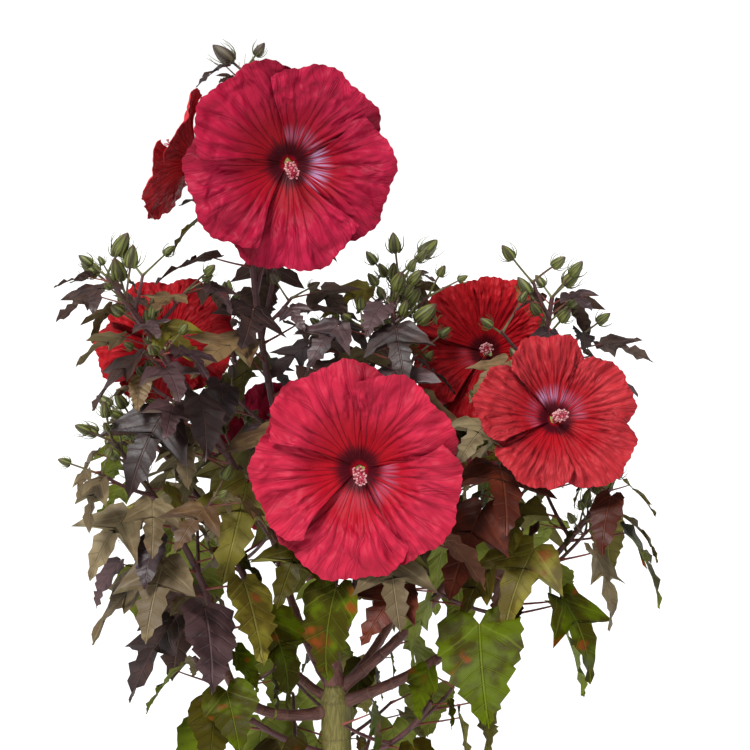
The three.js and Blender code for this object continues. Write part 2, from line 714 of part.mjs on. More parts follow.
// A bud and its stalk as one spindle: thin at the root, widest low in the bud, drawn to a point.
function budSolid(bud) {
  const size = bud.size;
  const reach = bud.foot.distanceTo(bud.root);
  const profile = [
    [0, 0],
    [petioleRadius * 0.7, 0],
    [petioleRadius * 0.9, reach],
    [budRadius * size, reach + budLength * 0.4 * size],
    [0, reach + budLength * size],
  ];
  return solid(aim(turned(profile, 4), bud.way, bud.root));
}

// The smallest way between two solids is under a gap.
const nearer = (a, b, gap) => {
  const p = a.boundingBox();
  const q = b.boundingBox();
  const apart = [0, 1, 2].some((i) => p.min[i] > q.max[i] + gap || q.min[i] > p.max[i] + gap);
  return !apart && a.minGap(b, gap) < gap;
};

// The largest body of a solid: a loose scrap is dropped.
function wholeOf(manifold) {
  return manifold.decompose().reduce((a, b) => (b.volume() > a.volume() ? b : a));
}

const limbs = { trunk: trunkLimb };
for (const [name, bough] of Object.entries(boughs)) {
  const foot = limbs[bough.on].curve.getPoint(bough.at);
  limbs[name] = limbFrom(foot, vec(...bough.tip), bough.sweep, bough.sag, bough.radii);
}
for (const [name, mass] of Object.entries(masses)) limbs[name] = stemOf(mass);

// A limb as it is made, or swollen to cut room for itself out of what it carries.
function limbPiece(name, swell = 0) {
  if (name === "trunk") return trunkSolid(swell);
  if (name in masses) return limbSolid(limbs[name], 5, 5, swell);
  return limbSolid(limbs[name], 6, name === "leader" ? 6 : 5, swell);
}

// Limbs are cut clear of the limb that carries them, and of any earlier one that they pass.
const made = new Map([["trunk", limbPiece("trunk")]]);
for (const name of Object.keys(boughs)) {
  let limb = limbPiece(name);
  for (const other of made.keys()) {
    if (nearer(limb, made.get(other), jointGap)) limb = limb.subtract(limbPiece(other, cutterSwell));
  }
  made.set(name, wholeOf(limb));
}

for (const [name, limb] of Object.entries(limbs)) {
  const start = name in masses ? 0.06 : 0; // a mass's stem begins in its bough's own room
  occupy(placesAlong(limb, start), limb.radii[0] + woodReach, name, true);
}
for (const [name, bloom] of Object.entries(blooms)) {
  made.set(name, wholeOf(bloomSolid(bloom).subtract(limbPiece(bloom.on, cutterSwell))));
  occupy(placesAlong(bloomStalk(bloom)), stalkRadius + woodReach, name, true);
}

for (const [name, mass] of Object.entries(masses)) {
  const grown = growMass(name, mass);
  const others = [...made].filter(([other]) => other !== mass.on).map(([, body]) => body);
  const clear = (piece) => others.every((other) => !nearer(piece, other, clearance));
  const twigs = grown.twigs.map((twig) => limbSolid(twig, 3, 2)).filter(clear);
  const buds = grown.buds.map(budSolid).filter(clear);
  const blades = [];
  for (const leaf of grown.leaves.map(leafSolid).filter(clear)) {
    if (!blades.some((other) => nearer(leaf, other, leafGap))) blades.push(leaf);
  }
  let whole = wasm.Manifold.union([limbPiece(name), ...twigs, ...blades, ...buds]);
  if (mass.on === "trunk") whole = whole.subtract(limbPiece("trunk", cutterSwell));
  made.set(name, wholeOf(whole).simplify(smoothing));
}

const colourOf = (name) => {
  if (name === "trunk") return barkColour;
  if (name.startsWith("bloom")) return petalColour;
  if (name.startsWith("leaves_low")) return greenLeafColour;
  if (/^leaves_(right|centre)$/.test(name)) return bronzeLeafColour;
  return name.startsWith("leaves") ? purpleLeafColour : boughColour;
};

const shrub = new THREE.Group();
for (const [name, body] of made) {
  const material = new THREE.MeshStandardMaterial({ color: colourOf(name), roughness: 0.6, metalness: 0 });
  const mesh = new THREE.Mesh(geometryOf(body), material);
  mesh.name = name;
  shrub.add(mesh);
}

export default shrub;
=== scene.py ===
# A hardy hibiscus shrub: large crimson blooms, lobed dark leaves above and green ones below, striped buds
# at the shoot tips, purple-brown boughs and a tan trunk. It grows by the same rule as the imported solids, in
# more detail.
import math

import bmesh
import bpy
import numpy as np
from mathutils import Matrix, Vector, noise


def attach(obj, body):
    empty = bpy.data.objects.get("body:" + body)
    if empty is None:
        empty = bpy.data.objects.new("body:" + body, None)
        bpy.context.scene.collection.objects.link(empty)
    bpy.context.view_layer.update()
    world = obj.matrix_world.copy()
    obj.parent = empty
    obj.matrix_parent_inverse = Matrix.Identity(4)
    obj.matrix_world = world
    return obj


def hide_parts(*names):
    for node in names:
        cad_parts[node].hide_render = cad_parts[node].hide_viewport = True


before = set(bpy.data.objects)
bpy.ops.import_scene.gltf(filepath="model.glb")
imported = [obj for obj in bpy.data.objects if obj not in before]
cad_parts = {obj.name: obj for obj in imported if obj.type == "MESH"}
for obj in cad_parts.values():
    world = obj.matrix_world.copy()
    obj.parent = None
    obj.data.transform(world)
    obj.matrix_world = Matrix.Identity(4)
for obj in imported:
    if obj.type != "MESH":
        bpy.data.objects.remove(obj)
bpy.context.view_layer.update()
print("frame loaded:", len(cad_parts), "solids")

# The growth rule works in millimetres, as the solids do, and a mesh gets its metres when it is finished.
metres = 0.001
up = np.array([0.0, 0.0, 1.0])
spiral = math.radians(137.5)  # from one leaf to the next round a stem
clamp = lambda value, low=0.0, high=1.0: max(low, min(high, value))

limbSizes = {
    "forkHeight": 285,
    "trunkLean": (-4, 3),
    "trunkRadii": (17.5, 12.5),
    "trunkRings": 41.0,  # from one ring of the bark to the next
    "boughRings": 27.0,
    "stemRings": 31.0,
    "stemRadius": 4.2,
    "stemRun": 0.4,  # how far a stem goes straight on from its bough
    "stemThinning": 0.8,  # its tip, to a twig's foot
    "lowStem": 0.9,  # a stem from the trunk, to other stems
    "lowKnee": (0.7, 0.3),  # how far out its bend is, and how far up
    "twigRadius": 3.2,
    "petioleRadius": 1.15,
    "stalkRadius": 3.4,
    "stalkThinning": 0.9,
    "jointGap": 0.3,
}

room = {
    "blade": 4.6,  # how much room a place on a blade takes round it
    "petiole": 2.6,
    "wood": 2.4,  # beyond a stem's radius
    "bloom": 7,
    "ahead": 1.1,  # radii that a bloom keeps open before its face
    "lowest": 40,
    "trunk": 24,  # to each side of the trunk and below trunkTop, no leaf hangs in front of it
    "trunkTop": 300,
    "step": 8,  # between the places that stand for a limb
    "stemStart": 0.06,  # a mass's stem takes room from here on
}

leafGrowth = {
    "tries": 9,
    "turnEach": 0.9,
    "shrinkEach": 0.045,
    "opening": (0.95, 0.4),  # the least, and how much chance adds
    "petiole": (0.38, 0.36),
    "droopSpread": 0.7,
    "swingSpread": 0.9,
    "rollSpread": 0.8,
    "bend": (0.35, 0.5),
    "stemSpan": (0.04, 0.94),
    "stemSize": 1.2,
    "taper": 0.5,
    "sideStep": 0.8,
    "twigSize": 0.9,
    "twigShrink": 0.1,
    "twigStart": 0.5,
    "twigFan": 1.5,
    "twigNumbers": (100, 10),  # the number of a twig's first leaf: for all twigs, and more for each twig
}

budGrowth = {
    "length": 21,
    "radius": 6.6,
    "places": (0.1, 0.6, 1),
    "tries": 4,
    "span": 0.3,
    "lean": (0.35, 0.6),
    "climb": 0.8,
    "size": (0.75, 0.4),
    "stalk": (12, 26),
}

twigGrowth = {
    "tries": 5,
    "turnEach": 1.3,
    "span": (0.1, 0.76),
    "climb": (0.4, 0.6),
    "length": (0.55, -0.2),
    "sag": 0.1,
    "thinning": 0.75,
    "ownRoom": 0.3,
}

# Each bough: the limb it grows on and how far along that, its tip, how far out it runs before it climbs,
# its sag and its radii.
boughs = {
    "leader": {
        "on": "trunk", "at": 1, "tip": (-38, 2, 470), "sweep": 0.35, "sag": 0, "radii": (8.4, 5.6),
    },
    "bough_left": {
        "on": "trunk", "at": 0.9, "tip": (-124, -36, 330), "sweep": 0.9, "sag": 26, "radii": (6.4, 4.6),
    },
    "bough_left_back": {
        "on": "trunk", "at": 0.93, "tip": (-94, 52, 366), "sweep": 0.7, "sag": 8, "radii": (5.6, 4.2),
    },
    "bough_left_high": {
        "on": "leader", "at": 0.5, "tip": (-98, -26, 500), "sweep": 0.6, "sag": 6, "radii": (5.2, 4.2),
    },
    "bough_right": {
        "on": "trunk", "at": 0.92, "tip": (138, -26, 340), "sweep": 0.55, "sag": 8, "radii": (6.6, 4.6),
    },
    "bough_right_high": {
        "on": "trunk", "at": 0.97, "tip": (122, 8, 400), "sweep": 0.55, "sag": 8, "radii": (6.4, 4.6),
    },
    "bough_centre": {
        "on": "leader", "at": 0.14, "tip": (18, -62, 392), "sweep": 0.6, "sag": 4, "radii": (5, 4.2),
    },
    "bough_centre_high": {
        "on": "leader", "at": 0.5, "tip": (40, 2, 500), "sweep": 0.6, "sag": 6, "radii": (5, 4.2),
    },
    "bough_back_left": {
        "on": "trunk", "at": 0.96, "tip": (-70, 104, 410), "sweep": 0.6, "sag": 8, "radii": (5.8, 4.2),
    },
    "bough_back_right": {
        "on": "trunk", "at": 0.95, "tip": (84, 100, 390), "sweep": 0.6, "sag": 8, "radii": (5.8, 4.2),
    },
    "bough_back": {
        "on": "leader", "at": 0.3, "tip": (2, 66, 450), "sweep": 0.6, "sag": 4, "radii": (5, 4.2),
    },
}

# Each bloom: the limb that carries it and how far along, the middle of its rim, which way it faces (degrees
# round from the front, and above level), its radius, its petals' turn and half width in degrees, and how
# much painted violet sheen each petal has beside the eye. open and fineOpen are the radii that it keeps open
# before its face for the first leaves and for the finer ones, corner is how far its petals are cut back at
# their corners, and arch how far its stalk runs straight behind it.
blooms = {
    "bloom_top": {
        "on": "leaves_top", "at": 0.56, "rim": (-48, -74, 842), "turn": 4, "lift": -4,
        "radius": 108, "spin": 59, "petal": 49, "paintedSheen": (0.35, 0.0, 0.0, 0.0, 1.0),
    },
    "bloom_centre": {
        "on": "bough_centre", "at": 0.86, "rim": (20, -146, 536), "turn": -6, "lift": 4,
        "radius": 109, "spin": 34, "petal": 49, "finish": "paintedLitCrimson", "paintedSheen": (0.0, 0.0, 0.0, 0.1, 0.3),
    },
    "bloom_right": {
        "on": "leaves_right_high", "at": 0.16, "rim": (228, -96, 590), "turn": 6, "lift": 24,
        "radius": 86, "spin": 30, "petal": 41, "corner": 0.26, "open": 0.9, "finish": "salmon",
        "paintedSheen": (0.3, 0.9, 0.2, 0.0, 0.0),
    },
    "bloom_right_back": {
        "on": "leaves_right_high", "at": 0.5, "rim": (158, 56, 646), "turn": -8, "lift": 18,
        "radius": 82, "spin": 50, "petal": 44, "open": 0.3, "fineOpen": 0.1, "finish": "paintedShadeScarlet",
        "paintedSheen": (0.0, 0.0, 0.2, 0.0, 0.0),
    },
    "bloom_side": {
        "on": "leaves_top", "at": 0.63, "rim": (-171, 26, 856), "turn": -100, "lift": 26,
        "radius": 78, "spin": 10, "petal": 44, "finish": "paintedLitScarlet", "paintedSheen": (0.0, 0.3, 0.0, 0.0, 0.3),
    },
    "bloom_left": {
        "on": "leaves_left_high", "at": 0.4, "rim": (-186, 24, 658), "turn": -6, "lift": 34,
        "radius": 76, "spin": 44, "petal": 44, "open": 0.3, "fineOpen": 0.1, "finish": "paintedShadeScarlet",
        "paintedSheen": (0.2, 0.0, 0.0, 0.3, 0.0),
    },
    "bloom_back": {
        "on": "leaves_back", "at": 0.2, "rim": (-60, 236, 500), "turn": 190, "lift": 14,
        "radius": 100, "spin": 25, "petal": 49, "paintedSheen": (0.2, 0.6, 0.0, 0.4, 0.0),
    },
    "bloom_back_right": {
        "on": "leaves_back_right", "at": 0.35, "rim": (176, 206, 560), "turn": 148, "lift": 10,
        "radius": 98, "spin": 5, "petal": 46, "paintedSheen": (0.5, 0.0, 0.3, 0.0, 0.3),
    },
    "bloom_back_top": {
        "on": "leaves_top", "at": 0.46, "rim": (-56, 128, 830), "turn": 184, "lift": 6,
        "radius": 92, "spin": 38, "petal": 48, "arch": 0.3, "paintedSheen": (0.0, 0.4, 0.0, 0.6, 0.0),
    },
}

# Each mass of leaves: the limb whose tip it continues (or the trunk, and how far up), the tip of its stem,
# how far its leaves reach, its seed, its twigs, the leaves on stem and on each twig, its buds, and the
# finer leaves that fill it. taper is how much smaller its leaves get up the stem, size how large they are,
# and fineTwigs the place on the stem and the heading in degrees of each finer twig.
masses = {
    "leaves_top": {
        "on": "leader", "tip": (-100, 10, 942), "reach": 130, "seed": 1730,
        "twigs": 3, "leaves": 22, "twigLeaves": 2, "buds": 5, "taper": 0.72, "fine": 14,
        "budFinish": "purpleBud",
    },
    "leaves_left_high": {
        "on": "bough_left_high", "tip": (-238, -62, 728), "reach": 150, "seed": 359,
        "twigs": 4, "leaves": 15, "twigLeaves": 3, "buds": 5, "fine": 18,
        "fineTwigs": ((0.55, -10), (0.75, 240), (0.85, 10)),
    },
    "leaves_left": {
        "on": "bough_left", "tip": (-234, -62, 556), "reach": 190, "seed": 3172, "size": 0.84,
        "twigs": 4, "leaves": 22, "twigLeaves": 4, "buds": 4, "fine": 14,
    },
    "leaves_right": {
        "on": "bough_right", "tip": (288, -46, 506), "reach": 170, "seed": 963,
        "twigs": 3, "leaves": 9, "twigLeaves": 2, "buds": 1, "fine": 12,
    },
    "leaves_right_high": {
        "on": "bough_right_high", "tip": (226, -24, 704), "reach": 170, "seed": 1531,
        "twigs": 4, "leaves": 17, "twigLeaves": 3, "buds": 5, "fine": 20,
        "fineTwigs": ((0.5, 190), (0.8, 215), (0.95, 170)),
    },
    "leaves_centre_high": {
        "on": "bough_centre_high", "tip": (58, -16, 700), "reach": 135, "seed": 594,
        "twigs": 3, "leaves": 13, "twigLeaves": 3, "buds": 5, "fine": 16,
        "fineTwigs": ((0.55, -20), (0.9, -5)),
    },
    "leaves_centre": {
        "on": "bough_centre", "tip": (50, -112, 450), "reach": 140, "seed": 217,
        "twigs": 3, "leaves": 8, "twigLeaves": 3, "buds": 0, "fine": 14,
    },
    "leaves_left_back": {
        "on": "bough_left_back", "tip": (-226, 84, 560), "reach": 165, "seed": 687,
        "twigs": 3, "leaves": 11, "twigLeaves": 3, "buds": 1, "fine": 20,
    },
    "leaves_back_left": {
        "on": "bough_back_left", "tip": (-130, 172, 670), "reach": 140, "seed": 667,
        "twigs": 3, "leaves": 12, "twigLeaves": 3, "buds": 2, "fine": 20,
    },
    "leaves_back_right": {
        "on": "bough_back_right", "tip": (160, 158, 640), "reach": 140, "seed": 528,
        "twigs": 3, "leaves": 12, "twigLeaves": 3, "buds": 2, "fine": 20,
    },
    "leaves_back": {
        "on": "bough_back", "tip": (68, 92, 724), "reach": 140, "seed": 816,
        "twigs": 2, "leaves": 13, "twigLeaves": 2, "buds": 3, "fine": 20,
    },
    "leaves_low_left": {
        "on": "trunk", "at": 0.72, "tip": (-150, -70, 330), "reach": 150, "seed": 2175,
        "twigs": 3, "leaves": 9, "twigLeaves": 2, "buds": 0, "fine": 3,
    },
    "leaves_low_right": {
        "on": "trunk", "at": 0.7, "tip": (98, -84, 286), "reach": 150, "seed": 2959,
        "twigs": 3, "leaves": 6, "twigLeaves": 2, "buds": 0, "fine": 5,
    },
    "leaves_low_back": {
        "on": "trunk", "at": 0.68, "tip": (-10, 118, 300), "reach": 150, "seed": 707,
        "twigs": 3, "leaves": 6, "twigLeaves": 2, "buds": 0, "fine": 8,
    },
}


chanceRule = {
    "states": 4294967296,
    "spread": 2654435761,
    "factor": 1664525,
    "step": 1013904223,
    "thrownAway": 4,
    "own": {  # what a mass's seed and a number are multiplied by, for each kind of thing
        "leaf": (1009, 37),
        "twig": (2003, 41),
        "bud": (3001, 43),
        "fineLeaf": (4001, 1),
        "fineBuds": (5003, 1),
        "looks": (1, 77),
    },
    "bloom": {"petals": 31, "heart": 17},
}


# The same numbers in the same order for the same seed, each from 0 to 1
def dice(seed):
    states = chanceRule["states"]
    state = (seed * chanceRule["spread"]) % states

    def roll():
        nonlocal state
        state = (state * chanceRule["factor"] + chanceRule["step"]) % states
        return state / states

    for _ in range(chanceRule["thrownAway"]):
        roll()
    return roll


def ownDice(mass, thing, number=0, turn=0):
    forMass, forNumber = chanceRule["own"][thing]
    return dice(mass["seed"] * forMass + number * forNumber + turn)


def bloomDice(bloom, thing):
    return dice(int(bloom["radius"] * chanceRule["bloom"][thing] + bloom["spin"]))


def chance(roll, span):
    return span[0] + span[1] * roll()


def unit(way):
    return way / np.linalg.norm(way)


# A limb is the foot, knee and tip of a smooth curve, with its radii at foot and tip.
def limb(foot, knee, tip, radii):
    return {"curve": tuple(np.array(p, float) for p in (foot, knee, tip)), "radii": radii}


def placeOn(one, t):
    foot, knee, tip = one["curve"]
    t = np.asarray(t, float)[..., None]
    return (1 - t) ** 2 * foot + 2 * t * (1 - t) * knee + t * t * tip


def wayOn(one, t):
    foot, knee, tip = one["curve"]
    t = np.asarray(t, float)[..., None]
    way = (1 - t) * (knee - foot) + t * (tip - knee)
    return way / np.linalg.norm(way, axis=-1, keepdims=True)


def placesAlong(one, start=0.0):
    foot, _, tip = one["curve"]
    count = max(2, math.floor(np.linalg.norm(tip - foot) / room["step"] + 0.5))
    shares = np.arange(count + 1) / count
    return placeOn(one, shares[shares >= start])


def turnAbout(way, axis, angle):
    along = axis * np.dot(axis, way) * (1 - math.cos(angle))
    return way * math.cos(angle) + np.cross(axis, way) * math.sin(angle) + along


def boughLimb(bough):
    foot = placeOn(limbs[bough["on"]], bough["at"])
    tip = np.array(bough["tip"], float)
    across = tip - foot
    knee = foot + across * bough["sweep"]
    knee[2] = foot[2] + across[2] * (1 - bough["sweep"]) - bough["sag"]
    return limb(foot, knee, tip, bough["radii"])


# The stem of a mass goes on from its bough's tip, or leaves the trunk.
def massStem(mass):
    carrier = limbs[mass["on"]]
    tip = np.array(mass["tip"], float)
    foot = placeOn(carrier, mass.get("at", 1))
    thin = limbSizes["twigRadius"] * limbSizes["stemThinning"]
    if "at" in mass:
        out, rise = limbSizes["lowKnee"]
        knee = np.array([tip[0] * out, tip[1] * out, foot[2] + (tip[2] - foot[2]) * rise])
        return limb(foot, knee, tip, (limbSizes["stemRadius"] * limbSizes["lowStem"], thin))
    way = wayOn(carrier, 1)
    knee = foot + way * np.linalg.norm(foot - tip) * limbSizes["stemRun"]
    thick = min(limbSizes["stemRadius"], carrier["radii"][1])
    return limb(foot + way * limbSizes["jointGap"], knee, tip, (thick, thin))


petalShape = {
    "depth": 0.34,  # of the bowl of petals, in radii
    "bowlCurve": 1.7,
    "calyxReach": 16,
    "stalkArch": 0.4,
    "columnLength": 0.46,
    "thickness": 0.7,
    "grain": (56, 44),  # faces across and along a petal
    "throatSpan": 33,  # half of a petal's width, in degrees
    "widen": 0.45,  # how soon it has its whole width
    "ruffle": 0.034,  # height of the rim's waves, in radii
    "ruffleRate": 5.2,
    "lap": 0.075,  # how far a petal's one side stands above its other
    "lapEdge": (0.5, 0.8, 1.6),  # how much more at its very edge, from where, and how soon from the throat
    "tilt": 0.05,
    "size": 0.06,  # how much its length differs
    "sway": (0.05, 4.5),  # how far its sides swing in and out, and how often
    "corner": 0.16,
    "edge": 0.028,  # how far its outline waves
    "edgeRate": 8,
    "nick": 0.016,
    "nickRates": (37, 17),
    "inner": 0.04,  # where it starts, in radii
    "curl": -0.05,
    "pucker": 0.025,  # height of the small swellings between the veins
    "puckerRate": (5.5, 7.5),
    "puckerStart": (1.6, 0.3),
    "puckerBetween": (0.6, 0.4),  # on a vein, and how much more between veins
    "billow": 0.09,
    "billowSize": 34,  # millimetres
    "crumple": 0.035,  # height of the long folds towards the rim
    "crumpleRate": (7, 2.6, 3),
    "crumpleStart": (1.4, 0.2),
    "rib": 0.004,
    "count": 5,
    "turn": 72,  # degrees from one petal to the next
}


def bloomAxis(bloom):
    turn = math.radians(bloom["turn"])
    lift = math.radians(bloom["lift"])
    return np.array([math.sin(turn) * math.cos(lift), -math.cos(turn) * math.cos(lift), math.sin(lift)])


# The stalk of a bloom, from the limb that carries it to the back of its calyx
def bloomStalk(bloom):
    axis = bloomAxis(bloom)
    behind = petalShape["depth"] * bloom["radius"] + petalShape["calyxReach"]
    back = np.array(bloom["rim"], float) - axis * behind
    foot = placeOn(limbs[bloom["on"]], bloom["at"])
    arch = bloom.get("arch", petalShape["stalkArch"])
    knee = back - axis * np.linalg.norm(back - foot) * arch
    thick = limbSizes["stalkRadius"]
    return limb(foot, knee, back, (thick, thick * limbSizes["stalkThinning"]))


limbs = {
    "trunk": limb(
        (0, 0, 0),
        (0, 0, limbSizes["forkHeight"] / 2),
        (*limbSizes["trunkLean"], limbSizes["forkHeight"]),
        limbSizes["trunkRadii"],
    )
}
for name, bough in boughs.items():
    limbs[name] = boughLimb(bough)
for name, mass in masses.items():
    limbs[name] = massStem(mass)


# The space that is taken: the places, how far each reaches, the mass that owns it, and whether it is wood
mostPlaces = 60000
taken = {
    "count": 0,
    "spots": np.zeros((mostPlaces, 3)),
    "reach": np.zeros(mostPlaces),
    "owner": np.zeros(mostPlaces, int),
    "wood": np.zeros(mostPlaces, bool),
}
owners = {name: number for number, name in enumerate([*limbs, *blooms])}


def occupy(places, reach, owner, wood):
    start = taken["count"]
    end = start + len(places)
    taken["spots"][start:end] = places
    taken["reach"][start:end] = reach
    taken["owner"][start:end] = owners[owner]
    taken["wood"][start:end] = wood
    taken["count"] = end


# No leaf grows into a bloom or the way in front of it, so that its face stays open.
def inBloom(places):
    for bloom in blooms.values():
        axis = bloomAxis(bloom)
        radius = bloom["radius"]
        away = places - np.array(bloom["rim"], float)
        ahead = away @ axis
        off = np.sqrt(np.maximum(0, (away**2).sum(axis=1) - ahead**2))
        share = np.minimum(1, off / radius)
        bowl = petalShape["depth"] * radius * (1 - share) ** petalShape["bowlCurve"]
        near = (off <= radius + room["bloom"]) & (ahead <= radius * bloom.get("open", room["ahead"]))
        if np.any(near & (ahead > -bowl - room["bloom"])):
            return True
    return False


def isFree(places, reach, owner, ownWoodToo):
    if places[:, 2].min() < room["lowest"] or inBloom(places):
        return False
    count = taken["count"]
    spots = taken["spots"][:count]
    apart = taken["reach"][:count] + reach
    edge = apart[:, None]
    near = np.all((spots > places.min(axis=0) - edge) & (spots < places.max(axis=0) + edge), axis=1)
    if not ownWoodToo:
        near &= ~(taken["wood"][:count] & (taken["owner"][:count] == owners[owner]))
    gaps = places[:, None] - spots[near][None]
    return not np.any((gaps**2).sum(axis=2) < apart[near] ** 2)


# How the leaves change from the foot of the plant to its top: long, lobed and nearly level above, broad and
# hanging below
leafChange = {
    "heights": (250, 450),  # where the change starts, and how much height it takes
    "droop": (66, 50),  # degrees below level at the foot, and how many fewer at the top
    "length": (88, 10, 10),  # at the foot, how much more half way up, and how much less at the top
    "fullest": 1.4,
    "lobes": 2.4,  # how soon the leaves are lobed
}


def leafHabit(height):
    rise = clamp((height - leafChange["heights"][0]) / leafChange["heights"][1])
    fullness = math.sin(math.pi * min(1, rise * leafChange["fullest"]))
    length, longer, shorter = leafChange["length"]
    return {
        "droop": math.radians(leafChange["droop"][0] - leafChange["droop"][1] * rise),
        "length": length + longer * fullness - shorter * rise * rise,
        "lobes": clamp(rise * leafChange["lobes"]),
    }


bladeFold = (0.22, 0.35)  # how steeply a blade rises from its midrib, and how soon it turns down again


# The points of a leaf blade: x along the midrib and y across it, in leaf lengths, raised off its own curve
def bladePoints(leaf, x, y, raised=0.0):
    bend = leaf["bend"]
    turned = bend * np.maximum(x, 0)
    ahead = np.where(x > 0, np.sin(turned) / bend, x)
    down = np.where(x > 0, (np.cos(turned) - 1) / bend, 0)
    fold = bladeFold[0] * np.abs(y) - bladeFold[1] * y * y
    high = (down + fold + raised)[..., None]
    flat = ahead[..., None] * leaf["ahead"] + np.asarray(y)[..., None] * leaf["side"]
    return leaf["base"] + (flat + high * leaf["face"]) * leaf["length"]


# Half of the solids' leaf outline as polar places: shoulder, side lobe, notch, flank
def solidOutline(lobes):
    mix = lambda plain, lobed: plain + (lobed - plain) * lobes
    return [
        (mix(0.3, 0.2), math.radians(mix(118, 112))),
        (mix(0.5, 0.66), math.radians(mix(62, 50))),
        (mix(0.6, 0.36), math.radians(mix(32, 25))),
        (mix(0.8, 0.64), math.radians(15)),
    ]


# The places that stand for a leaf when it is tested against its neighbours, in leaf lengths
leafTest = {
    "first": 0.07,
    "step": 0.133,
    "along": 8,
    "aside": 4,
    "slack": 0.04,  # how far outside the outline a place may be
    "petiole": (0.3, 0.5, 0.7, 0.9),
}
gridAlong = leafTest["first"] + leafTest["step"] * np.arange(leafTest["along"])
gridAside = leafTest["step"] * np.arange(-leafTest["aside"], leafTest["aside"] + 1)
gridX, gridY = np.meshgrid(gridAlong, gridAside, indexing="ij")
gridX, gridY = gridX.ravel(), gridY.ravel()
gridReach, gridAngle = np.hypot(gridX, gridY), np.abs(np.arctan2(gridY, gridX))


def leafPlaces(leaf):
    half = [(1, 0), *reversed(solidOutline(leaf["lobes"])), (0, math.pi)]
    reach = np.interp(gridAngle, [angle for _, angle in half], [r for r, _ in half])
    within = gridReach <= reach + leafTest["slack"]
    blade = bladePoints(leaf, gridX[within], gridY[within])
    shares = np.array(leafTest["petiole"])[:, None]
    return blade, leaf["root"] + (leaf["base"] - leaf["root"]) * shares


# A leaf on a stem: the petiole leaves the stem at an angle and the blade hangs from its end
def leafAt(one, t, azimuth, scale, roll):
    root = placeOn(one, t)
    out = np.array([math.cos(azimuth), math.sin(azimuth), 0])
    opening = chance(roll, leafGrowth["opening"])
    way = unit(out * math.sin(opening) + wayOn(one, t) * math.cos(opening))
    habit = leafHabit(root[2])
    length = habit["length"] * scale
    base = root + way * length * chance(roll, leafGrowth["petiole"])
    droop = habit["droop"] + (roll() - 0.5) * leafGrowth["droopSpread"]
    swing = azimuth + (roll() - 0.5) * leafGrowth["swingSpread"]
    level = np.array([math.cos(swing), math.sin(swing), 0])
    ahead = level * math.cos(droop) - up * math.sin(droop)
    face = level * math.sin(droop) + up * math.cos(droop)
    face = turnAbout(face, ahead, (roll() - 0.5) * leafGrowth["rollSpread"])
    return {
        "root": root,
        "base": base,
        "way": way,
        "ahead": ahead,
        "face": face,
        "side": unit(np.cross(face, ahead)),
        "length": length,
        "bend": chance(roll, leafGrowth["bend"]),
        "lobes": habit["lobes"],
    }


# The foot of the plant stays open in front, so that its trunk is seen.
def hidesTrunk(places):
    x, y, z = places.T
    aside = np.abs(x - limbSizes["trunkLean"][0] / 2)
    return np.any((aside < room["trunk"]) & (y < 0) & (z < room["trunkTop"]))


def freeLeaf(name, mass, one, t, azimuth, scale, number):
    for turn in range(leafGrowth["tries"]):
        roll = ownDice(mass, "leaf", number, turn)
        size = scale * mass.get("size", 1) * (1 - leafGrowth["shrinkEach"] * turn)
        leaf = leafAt(one, t, azimuth + turn * leafGrowth["turnEach"], size, roll)
        blade, petiole = leafPlaces(leaf)
        gaps = np.linalg.norm(blade[:, None] - mass["stemPlaces"][None], axis=2)
        if gaps.min(axis=1).max() >= mass["reach"] or not isFree(blade, room["blade"], name, True):
            continue
        if hidesTrunk(blade):
            continue
        if not isFree(petiole, room["petiole"], name, False):
            continue
        occupy(blade, room["blade"], name, False)
        occupy(petiole, room["petiole"], name, False)
        mass["grown"]["leaves"].append(leaf)
        return


def growTwig(name, mass, stem, t, first, number):
    root = placeOn(stem, t)
    for turn in range(twigGrowth["tries"]):
        roll = ownDice(mass, "twig", number, turn)
        azimuth = first + turn * twigGrowth["turnEach"]
        out = unit(np.array([math.cos(azimuth), math.sin(azimuth), chance(roll, twigGrowth["climb"])]))
        span = mass["reach"] * (twigGrowth["length"][0] + twigGrowth["length"][1] * t)
        end = root + out * span
        knee = (root + end) / 2 - up * twigGrowth["sag"] * span
        thick = limbSizes["twigRadius"]
        twig = limb(root, knee, end, (thick, thick * twigGrowth["thinning"]))
        twig["azimuth"] = azimuth
        places = placesAlong(twig, twigGrowth["ownRoom"])
        if not isFree(places, thick + room["wood"], name, False):
            continue
        occupy(places, thick + room["wood"], name, True)
        mass["grown"]["twigs"].append(twig)
        return


def growBud(name, mass, stem, t, first, number, share=1.0):
    for turn in range(budGrowth["tries"]):
        roll = ownDice(mass, "bud", number, turn)
        azimuth = first + number * spiral + turn
        root = placeOn(stem, t)
        out = np.array([math.cos(azimuth), math.sin(azimuth), 0])
        way = unit(out * chance(roll, budGrowth["lean"]) + wayOn(stem, t) * budGrowth["climb"])
        size = chance(roll, budGrowth["size"]) * share
        foot = root + way * chance(roll, budGrowth["stalk"])
        shares = np.array(budGrowth["places"])[:, None]
        places = foot + way * shares * budGrowth["length"] * size
        if not isFree(places, budGrowth["radius"] * share, name, True):
            continue
        occupy(places, budGrowth["radius"] * share, name, False)
        mass["grown"]["buds"].append({"root": root, "way": way, "size": size, "foot": foot})
        return


